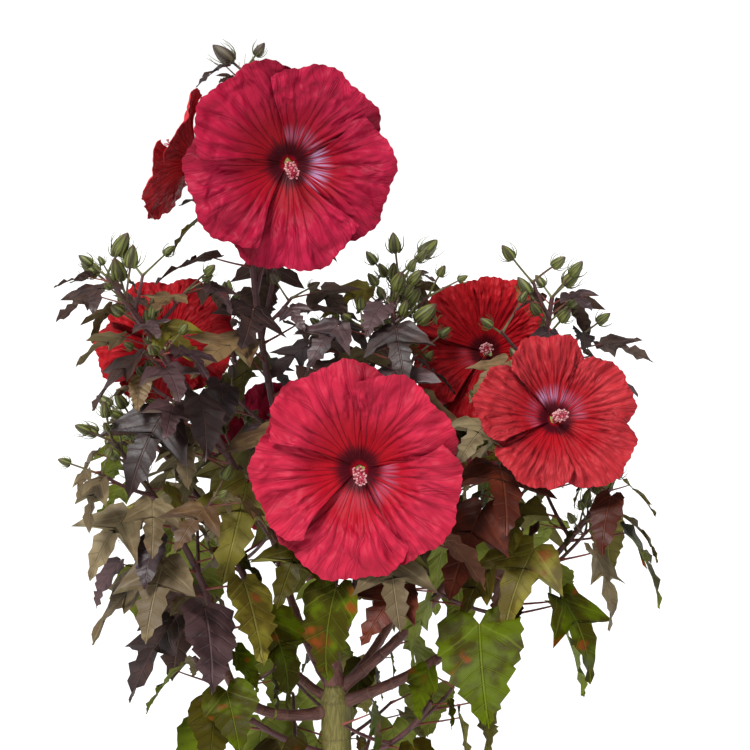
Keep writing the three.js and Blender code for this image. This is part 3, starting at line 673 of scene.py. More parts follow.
# The growth of one mass on its stem, in the order in which its twigs, leaves and buds take their space
def growMass(name, mass):
    stem = limbs[name]
    mass["stemPlaces"] = placesAlong(stem)
    mass["grown"] = {"twigs": [], "leaves": [], "buds": []}
    mass["first"] = 2 * math.pi * dice(mass["seed"])()
    for number in range(mass["twigs"]):
        t = twigGrowth["span"][0] + twigGrowth["span"][1] * (number + 0.5) / mass["twigs"]
        growTwig(name, mass, stem, t, mass["first"] + number * spiral, number)
    for number in range(mass["leaves"]):
        t = leafGrowth["stemSpan"][0] + leafGrowth["stemSpan"][1] * (number + 0.5) / mass["leaves"]
        scale = leafGrowth["stemSize"] - mass.get("taper", leafGrowth["taper"]) * t * t
        azimuth = mass["first"] + leafGrowth["sideStep"] + number * spiral
        freeLeaf(name, mass, stem, t, azimuth, scale, number)
    for k, twig in enumerate(mass["grown"]["twigs"]):
        first = leafGrowth["twigNumbers"][0] + leafGrowth["twigNumbers"][1] * k
        for i in range(mass["twigLeaves"]):
            share = i / max(1, mass["twigLeaves"] - 1)
            t = leafGrowth["twigStart"] + (1 - leafGrowth["twigStart"]) * share
            azimuth = twig["azimuth"] + (i - (mass["twigLeaves"] - 1) / 2) * leafGrowth["twigFan"]
            scale = leafGrowth["twigSize"] - leafGrowth["twigShrink"] * i
            freeLeaf(name, mass, twig, t, azimuth, scale, first + i)
    for number in range(mass["buds"]):
        t = 1 - budGrowth["span"] * number / mass["buds"]
        growBud(name, mass, stem, t, mass["first"], number)


fineGrowth = {
    "size": (0.42, 0.34),
    "span": (0.12, 0.86),
    "number": 500,  # of the first finer leaf or twig
    "tipNumber": 1000,
    "tipLeaves": 6,  # round the tip of a stem with buds
    "tipPlace": 0.98,
    "tipSize": (0.36, 0.26),
    "stemBuds": 9,
    "stemBudNumber": 100,
    "twigBuds": 2,
    "twigBudNumbers": (200, 10),
    "budShare": (0.5, 0.35),
    "budSpan": 0.3,
    "twigBudSpan": 0.1,
}


# A few more twigs, each with its place on the stem and its heading in degrees
def growFineTwigs(name, mass):
    for number, (t, heading) in enumerate(mass.get("fineTwigs", ())):
        growTwig(name, mass, limbs[name], t, math.radians(heading), fineGrowth["number"] + number)


# Finer leaves between the first ones, on the same stem and twigs, once every mass has its own
def growFineLeaves(name, mass):
    carriers = [limbs[name], *mass["grown"]["twigs"]]
    for number in range(mass["fine"]):
        roll = ownDice(mass, "fineLeaf", number)
        carrier = carriers[number % len(carriers)]
        t = chance(roll, fineGrowth["span"])
        azimuth = 2 * math.pi * roll()
        scale = chance(roll, fineGrowth["size"])
        freeLeaf(name, mass, carrier, t, azimuth, scale, fineGrowth["number"] + number)


# Smaller buds in clusters at the tips of stem and twigs, with a few narrow leaves
def growFineBuds(name, mass):
    stem = limbs[name]
    roll = ownDice(mass, "fineBuds")
    for number in range(fineGrowth["tipLeaves"]):
        scale = chance(roll, fineGrowth["tipSize"])
        azimuth = 2 * math.pi * roll()
        freeLeaf(name, mass, stem, fineGrowth["tipPlace"], azimuth, scale, fineGrowth["tipNumber"] + number)
    for number in range(fineGrowth["stemBuds"]):
        t = 1 - fineGrowth["budSpan"] * roll() ** 2
        share = chance(roll, fineGrowth["budShare"])
        growBud(name, mass, stem, t, mass["first"], fineGrowth["stemBudNumber"] + number, share)
    for k, twig in enumerate(mass["grown"]["twigs"]):
        first = fineGrowth["twigBudNumbers"][0] + fineGrowth["twigBudNumbers"][1] * k
        for number in range(fineGrowth["twigBuds"]):
            share = chance(roll, fineGrowth["budShare"])
            t = 1 - fineGrowth["twigBudSpan"] * roll()
            growBud(name, mass, twig, t, twig["azimuth"], first + number, share)


for name, one in limbs.items():
    start = room["stemStart"] if name in masses else 0
    occupy(placesAlong(one, start), one["radii"][0] + room["wood"], name, True)
for name, bloom in blooms.items():
    occupy(placesAlong(bloomStalk(bloom)), limbSizes["stalkRadius"] + room["wood"], name, True)
for name, mass in masses.items():
    growMass(name, mass)
leafCount = sum(len(mass["grown"]["leaves"]) for mass in masses.values())
for bloom in blooms.values():
    bloom["open"] = bloom.get("fineOpen", bloom.get("open", room["ahead"]))
for name, mass in masses.items():
    growFineTwigs(name, mass)
for name, mass in masses.items():
    if mass["buds"]:
        growFineBuds(name, mass)
    growFineLeaves(name, mass)
allLeaves = sum(len(mass["grown"]["leaves"]) for mass in masses.values())
budCount = sum(len(mass["grown"]["buds"]) for mass in masses.values())
print("grown:", leafCount, "leaves,", allLeaves - leafCount, "finer ones and", budCount, "buds")


# A mesh is made of copies of a few templates, and each copy brings its own places in millimetres. The
# pattern of a vertex goes with it: what its material needs to know of where on its leaf or stem it is.
def keepTemplate(name, shape):
    mesh = bpy.data.meshes.new(name)
    shape.to_mesh(mesh)
    shape.free()
    corners = np.array([vertex.co for vertex in mesh.vertices])
    slots = np.array([face.material_index for face in mesh.polygons])
    return {"mesh": mesh, "corners": corners, "slots": slots}


# A closed tube: its corners keep their share along it, and the cosine and sine of their way round it
def tubeTemplate(steps, sides):
    shape = bmesh.new()
    bmesh.ops.create_grid(shape, x_segments=steps, y_segments=sides, size=0.5)
    for vertex in shape.verts:
        angle = 2 * math.pi * vertex.co.y
        vertex.co = (vertex.co.x + 0.5, math.cos(angle), math.sin(angle))
    bmesh.ops.remove_doubles(shape, verts=shape.verts, dist=1e-4)
    bmesh.ops.holes_fill(shape, edges=shape.edges, sides=sides)
    bmesh.ops.recalc_face_normals(shape, faces=shape.faces)
    return keepTemplate("tube", shape)


# A leaf blade: an upper and a lower sheet, each folded along the midrib, welded round the rim. Its corners
# keep their station along it, their side and their sheet.
def bladeTemplate(stations):
    shape = bmesh.new()
    for sheet in (0, 1):
        before = len(shape.faces)
        made = bmesh.ops.create_grid(shape, x_segments=stations, y_segments=2, size=0.5)
        for vertex in made["verts"]:
            station, side = round((vertex.co.x + 0.5) * stations), round(vertex.co.y * 2)
            atEnd = station in (0, stations)
            vertex.co = (station, 0 if atEnd else side, 0 if atEnd or side else -sheet)
        shape.faces.ensure_lookup_table()
        for face in shape.faces[before:]:
            face.material_index = sheet
            if sheet:
                face.normal_flip()
    bmesh.ops.remove_doubles(shape, verts=shape.verts, dist=1e-4)
    return keepTemplate("blade", shape)


# A bud's body: its corners keep their height in it and the cosine and sine round it
def budTemplate():
    shape = bmesh.new()
    bmesh.ops.create_uvsphere(shape, u_segments=15, v_segments=8, radius=1)
    return keepTemplate("bud", shape)


def ballTemplate():
    shape = bmesh.new()
    bmesh.ops.create_icosphere(shape, subdivisions=1, radius=1)
    return keepTemplate("ball", shape)


sharpAngle = math.radians(50)


def makePiece(name, copies, materials, node):
    joined = bmesh.new()
    for copy in copies:
        joined.from_mesh(copy["template"]["mesh"])
    mesh = bpy.data.meshes.new(name)
    joined.to_mesh(mesh)
    joined.free()
    places = np.concatenate([copy["places"] for copy in copies]) * metres
    patterns = np.concatenate([copy["pattern"] for copy in copies])
    slots = np.concatenate([copy["template"]["slots"] + copy["slot"] for copy in copies])
    mesh.vertices.foreach_set("co", places.astype(np.float32).ravel())
    layer = mesh.attributes.new("pattern", "FLOAT_VECTOR", "POINT")
    layer.data.foreach_set("vector", patterns.astype(np.float32).ravel())
    mesh.polygons.foreach_set("material_index", slots.astype(np.int32))
    return finishPiece(name, mesh, materials, node)


def finishPiece(name, mesh, materials, node):
    mesh.shade_smooth()
    mesh.set_sharp_from_angle(angle=sharpAngle)
    mesh.update()
    for material in materials:
        mesh.materials.append(material)
    piece = bpy.data.objects.new(name, mesh)
    bpy.context.scene.collection.objects.link(piece)
    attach(piece, "root")
    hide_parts(node)
    return piece


limbShape = {
    "collar": 0.35,  # how much thicker a limb is at its foot, and how far that reaches in radii
    "collarReach": 1.6,
    "knot": 0.14,
    "knotReach": 3.2,
    "straight": 1e-6,
    "sideway": (0.3, 1.0, 0.2),  # where a straight limb's pattern starts
}


# A tube along a limb: its radius is a number or one for each corner
def tubeCopy(template, one, radius, slot=0):
    share, cosine, sine = template["corners"].T
    foot, knee, tip = one["curve"]
    across = np.cross(tip - foot, knee - foot)
    if np.linalg.norm(across) < limbShape["straight"]:
        across = np.cross(tip - foot, limbShape["sideway"])
    across = unit(across)
    front = np.cross(wayOn(one, share), across)
    wide = np.broadcast_to(radius, share.shape)[:, None]
    places = placeOn(one, share) + wide * (cosine[:, None] * across + sine[:, None] * front)
    span = np.linalg.norm(tip - foot)
    pattern = np.column_stack([share * span, cosine * wide[:, 0], sine * wide[:, 0]])
    return {"template": template, "places": places, "pattern": pattern, "slot": slot}


# How far each corner of a template stands from its limb's middle: a taper, a collar at the foot and a knot
# at each place in knots
def limbRadius(template, one, knots=(), collar=limbShape["collar"], knot=limbShape["knot"]):
    share = template["corners"][:, 0]
    span = np.linalg.norm(one["curve"][2] - one["curve"][0])
    radius = one["radii"][0] + (one["radii"][1] - one["radii"][0]) * share
    swell = 1 + collar * np.exp(-share * span / (limbShape["collarReach"] * one["radii"][0]))
    for t in knots:
        swell += knot * np.exp(-(((share - t) * span / limbShape["knotReach"]) ** 2))
    return radius * swell


# A socket of a material's node tree. Plain sums on it add its Math nodes.
class Wire:
    def __init__(self, tree, socket=None):
        self.tree = tree
        self.socket = socket

    # Any node: its settings first, then the values or links of its sockets
    def node(self, kind, settings=None, sockets=None, out=0):
        made = self.tree.nodes.new(kind)
        for name, value in (settings or {}).items():
            setattr(made, name, value)
        for name, value in (sockets or {}).items():
            if isinstance(value, Wire):
                self.tree.links.new(value.socket, made.inputs[name])
            else:
                made.inputs[name].default_value = value
        return Wire(self.tree, made.outputs[out] if len(made.outputs) else None)

    def sum(self, operation, first, second):
        return self.node("ShaderNodeMath", {"operation": operation}, {0: first, 1: second})

    def __add__(self, other):
        return self.sum("ADD", self, other)

    __radd__ = __add__

    def __sub__(self, other):
        return self.sum("SUBTRACT", self, other)

    def __rsub__(self, other):
        return self.sum("SUBTRACT", other, self)

    def __mul__(self, other):
        return self.sum("MULTIPLY", self, other)

    __rmul__ = __mul__

    def __abs__(self):
        return self.sum("ABSOLUTE", self, 0)

    def __mod__(self, other):
        return self.sum("FLOORED_MODULO", self, other)


inkShare = 0.62  # colours are named as the lamps show them, and a finish reflects about this share of that


# A colour named from 0 to 255, as the linear colour that a socket takes
def ink(red, green, blue):
    linear = [((c / 255 + 0.055) / 1.055) ** 2.4 if c > 10 else c / 3294 for c in (red, green, blue)]
    return (*(part * inkShare for part in linear), 1.0)


mixSockets = {"share": 0, "first": 6, "second": 7, "out": 2}  # of a Mix node for colours


def mixed(first, second, share):
    sockets = {mixSockets["share"]: share, mixSockets["first"]: first, mixSockets["second"]: second}
    return share.node("ShaderNodeMix", {"data_type": "RGBA"}, sockets, mixSockets["out"])


# 1 below low, 0 above high, smooth between them
def fading(wire, low, high):
    sockets = {"Value": wire, "From Min": low, "From Max": high, "To Min": 1, "To Max": 0}
    return wire.node("ShaderNodeMapRange", {"interpolation_type": "SMOOTHSTEP"}, sockets)


def larger(first, second):
    return first.sum("MAXIMUM", first, second)


even = (1, 1, 1)


def noiseOn(place, scale, stretch=even, detail=2.0):
    stretched = place.node("ShaderNodeVectorMath", {"operation": "MULTIPLY"}, {0: place, 1: stretch})
    sockets = {"Vector": stretched, "Scale": scale, "Detail": detail}
    return stretched.node("ShaderNodeTexNoise", None, sockets)


def startMaterial(name):
    material = bpy.data.materials.new(name)
    material.use_nodes = True
    material.node_tree.nodes.clear()
    begin = Wire(material.node_tree)
    pattern = begin.node("ShaderNodeAttribute", {"attribute_name": "pattern"}, None, "Vector")
    place = begin.node("ShaderNodeTexCoord", None, None, "Object")
    parts = begin.node("ShaderNodeSeparateXYZ", None, {0: pattern})
    x, y, z = (Wire(begin.tree, socket) for socket in parts.socket.node.outputs)
    return material, begin, pattern, place, (x, y, z)


def endMaterial(begin, colour, roughness, relief, depth, fixed):
    bump = begin.node("ShaderNodeBump", None, {"Height": relief, "Distance": depth, "Strength": 1.0})
    sockets = {"Base Color": colour, "Roughness": roughness, "Normal": bump, **fixed}
    shader = begin.node("ShaderNodeBsdfPrincipled", None, sockets)
    begin.node("ShaderNodeOutputMaterial", None, {"Surface": shader})


semiGloss = {"Specular IOR Level": 0.4}

# In each pattern, a pair is mostly where something starts and ends to fade, a scale is its fineness, and a
# share is how strongly it colours.
barkPattern = {
    "streakScale": 0.55,
    "streakPull": (0.12, 1, 1),
    "streaks": (0.42, 0.62),
    "patchScale": 22.0,
    "patches": (0.36, 0.5),
    "patchShare": 0.5,
    "wobbleScale": 60.0,
    "wobble": 7.0,  # millimetres that a ring wanders along its limb
    "ring": (0.5, 2.2),
    "ringShare": 0.4,
    "dotScale": 0.42,
    "dot": (0.1, 0.24),
    "dotShare": 0.55,
    "relief": (0.6, -0.8, 0.5),  # of streaks, rings and dots
    "depth": 0.0007,
}


# Bark: streaks along the limb, pale dots, and a darker ring round each scar
def barkMaterial(name, base, streak, dot, ring, ringGap, roughness):
    finish = barkPattern
    material, begin, pattern, place, (along, _, _) = startMaterial(name)
    streaks = noiseOn(pattern, finish["streakScale"], finish["streakPull"], 4.0)
    patches = noiseOn(place, finish["patchScale"])
    wobble = (noiseOn(place, finish["wobbleScale"]) - 0.5) * finish["wobble"]
    rings = fading(abs((along + wobble) % ringGap - ringGap / 2), *finish["ring"])
    dotted = begin.node("ShaderNodeTexVoronoi", None, {"Vector": pattern, "Scale": finish["dotScale"]})
    dots = fading(dotted, *finish["dot"])
    colour = mixed(base, streak, fading(streaks, *finish["streaks"]))
    colour = mixed(colour, ring, rings * finish["ringShare"])
    colour = mixed(colour, dot, dots * finish["dotShare"])
    colour = mixed(colour, streak, fading(patches, *finish["patches"]) * finish["patchShare"])
    ofStreaks, ofRings, ofDots = finish["relief"]
    relief = streaks * ofStreaks + rings * ofRings + dots * ofDots
    endMaterial(begin, colour, roughness + streaks * 0.15, relief, finish["depth"], semiGloss)
    return material


leafPattern = {
    "midrib": (0.006, 0.016),  # widths and gaps are in leaf lengths
    "slant": 0.72,
    "veinGap": 0.17,
    "sideVein": (0.003, 0.012),
    "sideFade": (0.2, 0.4),
    "lobeWay": (0.766, 0.643),
    "lobeVein": (0.004, 0.013),
    "lobeFade": (0.3, 0.42),
    "veinShares": (0.55, 0.8, 0.4),  # of side veins, lobe veins and all
    "cloudScale": 38.0,
    "clouds": (0.4, 0.64),
    "tint": (0.35, 0.17),  # how far a leaf's own tint shifts its clouds
    "spotScale": 30.0,
    "spotEdge": 0.1,
    "spotShare": 0.8,
    "quiltShadeShare": 0.14,
    "grainScale": 420.0,
    "relief": (0.15, 0.9, 0.22, 0.5),  # of grain, clouds, the quilt between the veins, and side veins
    "depth": 0.0016,
}


# A leaf's face: a midrib, side veins that leave it at a slant, and veins to the side lobes from its base
def leafMaterial(name, base, shade, vein, spot, spotShare, roughness, shine):
    finish = leafPattern
    material, begin, _, place, (x, y, tint) = startMaterial(name)
    side = abs(y)
    midrib = fading(side, *finish["midrib"])
    slant = x - side * finish["slant"]
    gap = finish["veinGap"]
    sideVeins = fading(abs(slant % gap - gap / 2), *finish["sideVein"]) * fading(side, *finish["sideFade"])
    lobeLine = abs(x * finish["lobeWay"][0] - side * finish["lobeWay"][1])
    lobeVeins = fading(lobeLine, *finish["lobeVein"]) * fading(x, *finish["lobeFade"])
    ofSide, ofLobe, ofVeins = finish["veinShares"]
    veins = larger(larger(midrib, sideVeins * ofSide), lobeVeins * ofLobe)
    cloud = noiseOn(place, finish["cloudScale"], even, 3.0)
    grain = noiseOn(place, finish["grainScale"])
    tinted = cloud + tint * finish["tint"][0] - finish["tint"][1]
    colour = mixed(base, shade, fading(tinted, *finish["clouds"]))
    spotted = noiseOn(place, finish["spotScale"], even, 2.0)
    spots = fading(spotted, spotShare - finish["spotEdge"], spotShare)
    colour = mixed(colour, spot, spots * finish["spotShare"])
    # painted shade in the dips along the side veins, where the quilt's relief sinks the leaf
    quilt = fading(abs(slant % gap - gap / 2), 0.0, gap / 2)
    colour = mixed(colour, shade, quilt * finish["quiltShadeShare"])
    colour = mixed(colour, vein, veins * ofVeins)
    ofGrain, ofCloud, ofQuilt, ofSideVein = finish["relief"]
    relief = grain * ofGrain + cloud * ofCloud - quilt * ofQuilt - larger(midrib, sideVeins * ofSideVein)
    fixed = {"Specular IOR Level": shine}
    endMaterial(begin, colour, roughness + grain * 0.2, relief, finish["depth"], fixed)
    return material


plainPattern = {"scale": 60.0, "clouds": (0.38, 0.62), "depth": 0.0004}


def plainMaterial(name, base, shade, roughness):
    material, begin, _, place, _ = startMaterial(name)
    cloud = noiseOn(place, plainPattern["scale"], even, 3.0)
    colour = mixed(base, shade, fading(cloud, *plainPattern["clouds"]))
    endMaterial(begin, colour, roughness + cloud * 0.1, cloud, plainPattern["depth"], semiGloss)
    return material


budPattern = {
    "scale": 2.6,
    "pull": (0.25, 1, 1),
    "stripes": (0.4, 0.56),
    "point": (0.72, 1.0),
    "roughness": 0.5,
    "depth": 0.0006,
}


# A bud: pale ridges and dark stripes between them, darker at its point
def budMaterial(name, base, stripe, point):
    finish = budPattern
    material, begin, pattern, place, (height, _, _) = startMaterial(name)
    stripes = noiseOn(pattern, finish["scale"], finish["pull"], 2.0)
    colour = mixed(stripe, base, fading(stripes, *finish["stripes"]))
    colour = mixed(point, colour, fading(height, *finish["point"]))
    endMaterial(begin, colour, finish["roughness"] + stripes * 0.1, stripes, finish["depth"], semiGloss)
    return material


petalFinish = {
    "veins": 4.5,  # from the middle of a petal to its side
    "bending": (2.6, 1.3, 9.0),
    "wander": 2.6,
    "fork": (0.42, 0.55),  # how far out veins fork, and how fast the forks part
    "twig": (0.66, 0.75),
    "forkStart": 0.05,  # how softly a fork starts
    "reach": (17.8, 0.93, 0.07),  # millimetres between two veins at the rim, and how they narrow inwards
    "width": (0.1, 0.6),
    "veinShares": (0.8, 0.6),  # of forks and of their forks
    "swell": (0.0, 0.42),
    "swellReach": (0.15, 0.6),
    "swellScale": 22.0,
    "swellPatches": (0.4, 0.62),
    "streakPull": (6.0, 1.1),
    "streakScale": 2.4,
    "drift": 1.6,
    "driftScale": 24.0,
    "blisterPull": (4.6, 6.4),
    "blister": (0.1, 0.7),
    "blisterScale": 17.0,
    "blisterPatches": (0.38, 0.6),
    # the painted shade of the creases, by the distance from a blister's middle
    "paintedCrease": (0.3, 0.62),
    "foldPull": (5.0, 3.4),
    "foldScale": 1.3,
    "outward": (0.25, 0.75),
    "grainScale": 300.0,
    "cloudScale": 15.0,
    "brightShares": (0.55, 0.2),  # towards the rim, and in clouds
    "clouds": (0.35, 0.65),
    "inner": (0.4, 0.95),
    "innerShares": (0.5, 0.85),  # how far streaks reach out of it, and how strong it is
    "veinFade": (0.3, 1.0),
    "veinClouds": (0.4, 0.6),
    "veinStrength": (0.5, 0.12, 0.2),  # near the eye, in clouds and everywhere
    # where the painted shade in the low parts of the folds fades
    "fold": (0.34, 0.48),
    "foldShadeShares": (0.2, 0.26),  # of the painted shade in folds and in creases
    "paintedSheen": (0.12, 0.3, 0.17),  # the painted violet sheen: its streaks, how far out it is, and its width
    "paintedSheenStreaks": (0.38, 0.62),
    "paintedSheenShare": 0.75,
    "eye": (0.13, 0.24),
    "eyeShares": (0.2, 0.92),
    "core": (0.01, 0.07),
    "coreShare": 0.8,
    "lap": (0.0, 6.0),  # degrees under a neighbour's edge, where a shade is painted
    "lapShadeShare": 0.42,
    "relief": (0.32, 0.6, 2.2, 0.04, 0.1),  # of swells, blisters, folds, grain and veins
    "depth": 0.0042,
    "roughness": 0.46,
    "shine": 0.12,
}


# Petals: fine dark veins that fork towards the rim, swells, blisters and folds between them further out, with
# painted shade in the folds and in the creases round the blisters, a dark eye with streaks round a bright red
# core, a painted violet sheen beside the eye, and a painted shade where a neighbour laps over
def petalMaterial(name, base, bright, vein, inner, eye, core, paintedSheen):
    finish = petalFinish
    # glowing is each petal's share of the painted violet sheen, and it also shifts the petal's noise
    material, begin, _, place, (across, along, glowing) = startMaterial(name)

    def combined(x, y, z=0.0):
        return begin.node("ShaderNodeCombineXYZ", None, {"X": x, "Y": y, "Z": z})

    def pulled(pull, z=0.0):
        return combined(across * pull[0], along * pull[1], z)

    def veinsAt(shift, start):
        near = abs((phase + shift) % 1.0 - 0.5) * wide
        lines = fading(near, *finish["width"])
        return lines * (1 - fading(along, start, start + finish["forkStart"])) if start else lines

    bending = pulled(finish["bending"], glowing * finish["bending"][2])
    wander = (noiseOn(bending, 1.0, even, 1.0) - 0.5) * finish["wander"]
    phase = across * finish["veins"] + wander
    widest, narrowing, narrowest = finish["reach"]
    wide = (along * narrowing + narrowest) * widest
    forkStart, forkPace = finish["fork"]
    twigStart, twigPace = finish["twig"]
    fork = (along - forkStart) * forkPace
    twig = (along - twigStart) * twigPace
    forks = larger(veinsAt(fork, forkStart), veinsAt(fork * -1.0, forkStart))
    twigs = larger(veinsAt(fork - twig, twigStart), veinsAt(twig - fork, twigStart))
    ofForks, ofTwigs = finish["veinShares"]
    veins = larger(larger(veinsAt(0.0, 0.0), forks * ofForks), twigs * ofTwigs)
    swellPatches = 1 - fading(noiseOn(place, finish["swellScale"]), *finish["swellPatches"])
    swells = 1 - fading(abs(phase % 1.0 - 0.5), *finish["swell"])
    swells = swells * (1 - fading(along, *finish["swellReach"])) * swellPatches
    streaks = noiseOn(pulled(finish["streakPull"], glowing), finish["streakScale"], even, 1.5)
    drift = (noiseOn(place, finish["driftScale"], even, 1.0) - 0.5) * finish["drift"]
    pullX, pullY = finish["blisterPull"]
    cellPlace = combined(across * pullX + drift, along * pullY - drift)
    sockets = {"Vector": cellPlace, "Scale": 1.0, "Smoothness": 0.5}
    cells = begin.node("ShaderNodeTexVoronoi", {"feature": "SMOOTH_F1"}, sockets)
    blistered = 1 - fading(noiseOn(place, finish["blisterScale"]), *finish["blisterPatches"])
    blisters = fading(cells, *finish["blister"]) * blistered
    # painted shade in the creases round the blisters
    paintedCreaseShade = (1 - fading(cells, *finish["paintedCrease"])) * blistered
    pullX, pullY = finish["foldPull"]
    folds = noiseOn(combined(across * pullX + drift, along * pullY - drift), finish["foldScale"], even, 1.0)
    outward = 1 - fading(along, *finish["outward"])
    grain = noiseOn(place, finish["grainScale"], even, 3.0)
    clouds = noiseOn(place, finish["cloudScale"], even, 2.0)
    toRim, inClouds = finish["brightShares"]
    colour = mixed(base, bright, outward * toRim + fading(clouds, *finish["clouds"]) * inClouds)
    streaked, strong = finish["innerShares"]
    colour = mixed(colour, inner, fading(along + streaks * streaked, *finish["inner"]) * strong)
    byEye, inClouds, everywhere = finish["veinStrength"]
    strength = fading(along, *finish["veinFade"]) * byEye
    strength = strength + fading(clouds, *finish["veinClouds"]) * inClouds + everywhere
    colour = mixed(colour, vein, veins * strength)
    # painted shade in the low parts of the folds and in the creases, towards the rim
    ofFolds, ofCreases = finish["foldShadeShares"]
    paintedFoldShade = larger(fading(folds, *finish["fold"]) * ofFolds, paintedCreaseShade * ofCreases)
    colour = mixed(colour, vein, paintedFoldShade * outward)
    # A painted violet sheen beside the eye, in streaks, on the petals that have a share of it
    streaked, middle, reach = finish["paintedSheen"]
    lit = fading(abs(along + streaks * streaked - middle), 0.0, reach)
    lit = lit * fading(streaks, *finish["paintedSheenStreaks"])
    colour = mixed(colour, paintedSheen, lit * glowing * finish["paintedSheenShare"])
    streaked, strong = finish["eyeShares"]
    colour = mixed(colour, eye, fading(along + (streaks - 0.5) * streaked, *finish["eye"]) * strong)
    colour = mixed(colour, core, fading(along, *finish["core"]) * finish["coreShare"])
    # painted shade on a petal just under the edge of the neighbour that laps over it
    lapped = begin.node("ShaderNodeAttribute", {"attribute_name": "lapped"}, None, "Fac")
    colour = mixed(colour, vein, fading(lapped, *finish["lap"]) * finish["lapShadeShare"])
    ofSwells, ofBlisters, ofFolds, ofGrain, ofVeins = finish["relief"]
    raised = (blisters * ofBlisters + folds * ofFolds) * outward
    relief = swells * ofSwells + raised + grain * ofGrain - veins * ofVeins
    fixed = {"Specular IOR Level": finish["shine"]}
    endMaterial(begin, colour, finish["roughness"] + grain * 0.15, relief, finish["depth"], fixed)
    return material


# Bark finishes: the colour, its streaks, its dots and its rings, from ring to ring, and the roughness.
# Petal finishes: the colour, brighter towards the rim, its veins, whose colour also paints the shade in
# folds, creases and under a lapping neighbour, then the inner part, the eye, its core and the painted violet
# sheen beside it.
finishes = {
    "trunk": barkMaterial(
        "trunkBark", ink(164, 152, 84), ink(130, 122, 60), ink(190, 180, 126), ink(110, 98, 52),
        limbSizes["trunkRings"], 0.5,
    ),
    "bough": barkMaterial(
        "boughBark", ink(150, 98, 86), ink(112, 68, 64), ink(178, 138, 118), ink(152, 116, 88),
        limbSizes["boughRings"], 0.45,
    ),
    "stem": barkMaterial(
        "youngStem", ink(122, 74, 74), ink(90, 52, 56), ink(150, 110, 108), ink(80, 50, 48),
        limbSizes["stemRings"], 0.4,
    ),
    "petiole": plainMaterial("redPetiole", ink(156, 76, 62), ink(120, 56, 50), 0.4),
    "greenStalk": plainMaterial("greenStalk", ink(116, 116, 66), ink(104, 76, 58), 0.45),
    "bud": budMaterial("stripedBud", ink(134, 142, 66), ink(70, 68, 30), ink(84, 54, 40)),
    "purpleBud": budMaterial("purpleBud", ink(112, 98, 72), ink(66, 50, 42), ink(76, 50, 42)),
    "bract": plainMaterial("bract", ink(112, 124, 58), ink(98, 86, 58), 0.5),
    "calyx": plainMaterial("calyx", ink(150, 168, 70), ink(112, 132, 50), 0.45),
    "column": plainMaterial("column", ink(222, 84, 112), ink(190, 40, 70), 0.4),
    "anther": plainMaterial("anther", ink(238, 176, 176), ink(222, 132, 142), 0.6),
    "crimson": petalMaterial(
        "crimsonPetal", ink(168, 8, 42), ink(212, 34, 80), ink(96, 0, 20),
        ink(168, 0, 18), ink(62, 0, 16), ink(200, 6, 44), ink(206, 176, 224),
    ),
    # crimson painted brighter, as if in more light, for the bloom in the middle
    "paintedLitCrimson": petalMaterial(
        "paintedLitCrimsonPetal", ink(186, 10, 42), ink(226, 48, 84), ink(112, 0, 22),
        ink(186, 0, 20), ink(70, 0, 18), ink(210, 8, 44), ink(206, 176, 224),
    ),
    "salmon": petalMaterial(
        "salmonPetal", ink(176, 16, 32), ink(220, 62, 70), ink(110, 0, 20),
        ink(182, 0, 20), ink(66, 0, 18), ink(204, 10, 40), ink(206, 176, 224),
    ),
    # scarlet, painted darker as shade, for the blooms that stand in shade on the left and at the back right
    "paintedShadeScarlet": petalMaterial(
        "paintedShadeScarletPetal", ink(174, 4, 20), ink(206, 28, 38), ink(106, 0, 12),
        ink(164, 0, 14), ink(60, 0, 10), ink(190, 6, 24), ink(206, 140, 170),
    ),
    # the same scarlet painted lighter, as if lit, for a bloom whose face turns away from the light
    "paintedLitScarlet": petalMaterial(
        "paintedLitScarletPetal", ink(232, 26, 42), ink(250, 72, 84), ink(160, 4, 20),
        ink(220, 12, 24), ink(90, 0, 14), ink(220, 10, 30), ink(206, 140, 170),
    ),
}

# Leaf finishes: the colour, its darker patches (also a painted shade by the side veins), its veins, its spots
# and their share, its roughness and its shine. The faces below have paler ones, with the same spots.
leafKinds = {
    "purple": (ink(88, 60, 62), ink(54, 32, 36), ink(124, 90, 92), ink(110, 54, 44), 0.3, 0.4, 0.44),
    "dark": (ink(68, 42, 36), ink(42, 22, 20), ink(100, 64, 56), ink(80, 46, 34), 0.3, 0.4, 0.4),
    "grey": (ink(150, 132, 96), ink(108, 90, 62), ink(174, 156, 116), ink(128, 78, 54), 0.34, 0.42, 0.24),
    "bronze": (ink(136, 108, 70), ink(94, 66, 40), ink(162, 132, 90), ink(134, 66, 40), 0.36, 0.4, 0.3),
    "rust": (ink(112, 44, 22), ink(76, 28, 14), ink(140, 74, 46), ink(92, 62, 24), 0.34, 0.4, 0.2),
    "olive": (ink(136, 126, 42), ink(94, 80, 24), ink(164, 156, 80), ink(140, 70, 34), 0.36, 0.42, 0.14),
    "darkGreen": (ink(74, 66, 2), ink(48, 36, 1), ink(104, 100, 26), ink(116, 46, 14), 0.4, 0.36, 0.1),
    "green": (ink(92, 108, 4), ink(66, 62, 2), ink(128, 144, 38), ink(150, 62, 20), 0.4, 0.4, 0.08),
    "fresh": (ink(138, 156, 22), ink(100, 112, 10), ink(170, 184, 68), ink(146, 84, 30), 0.36, 0.42, 0.08),
}
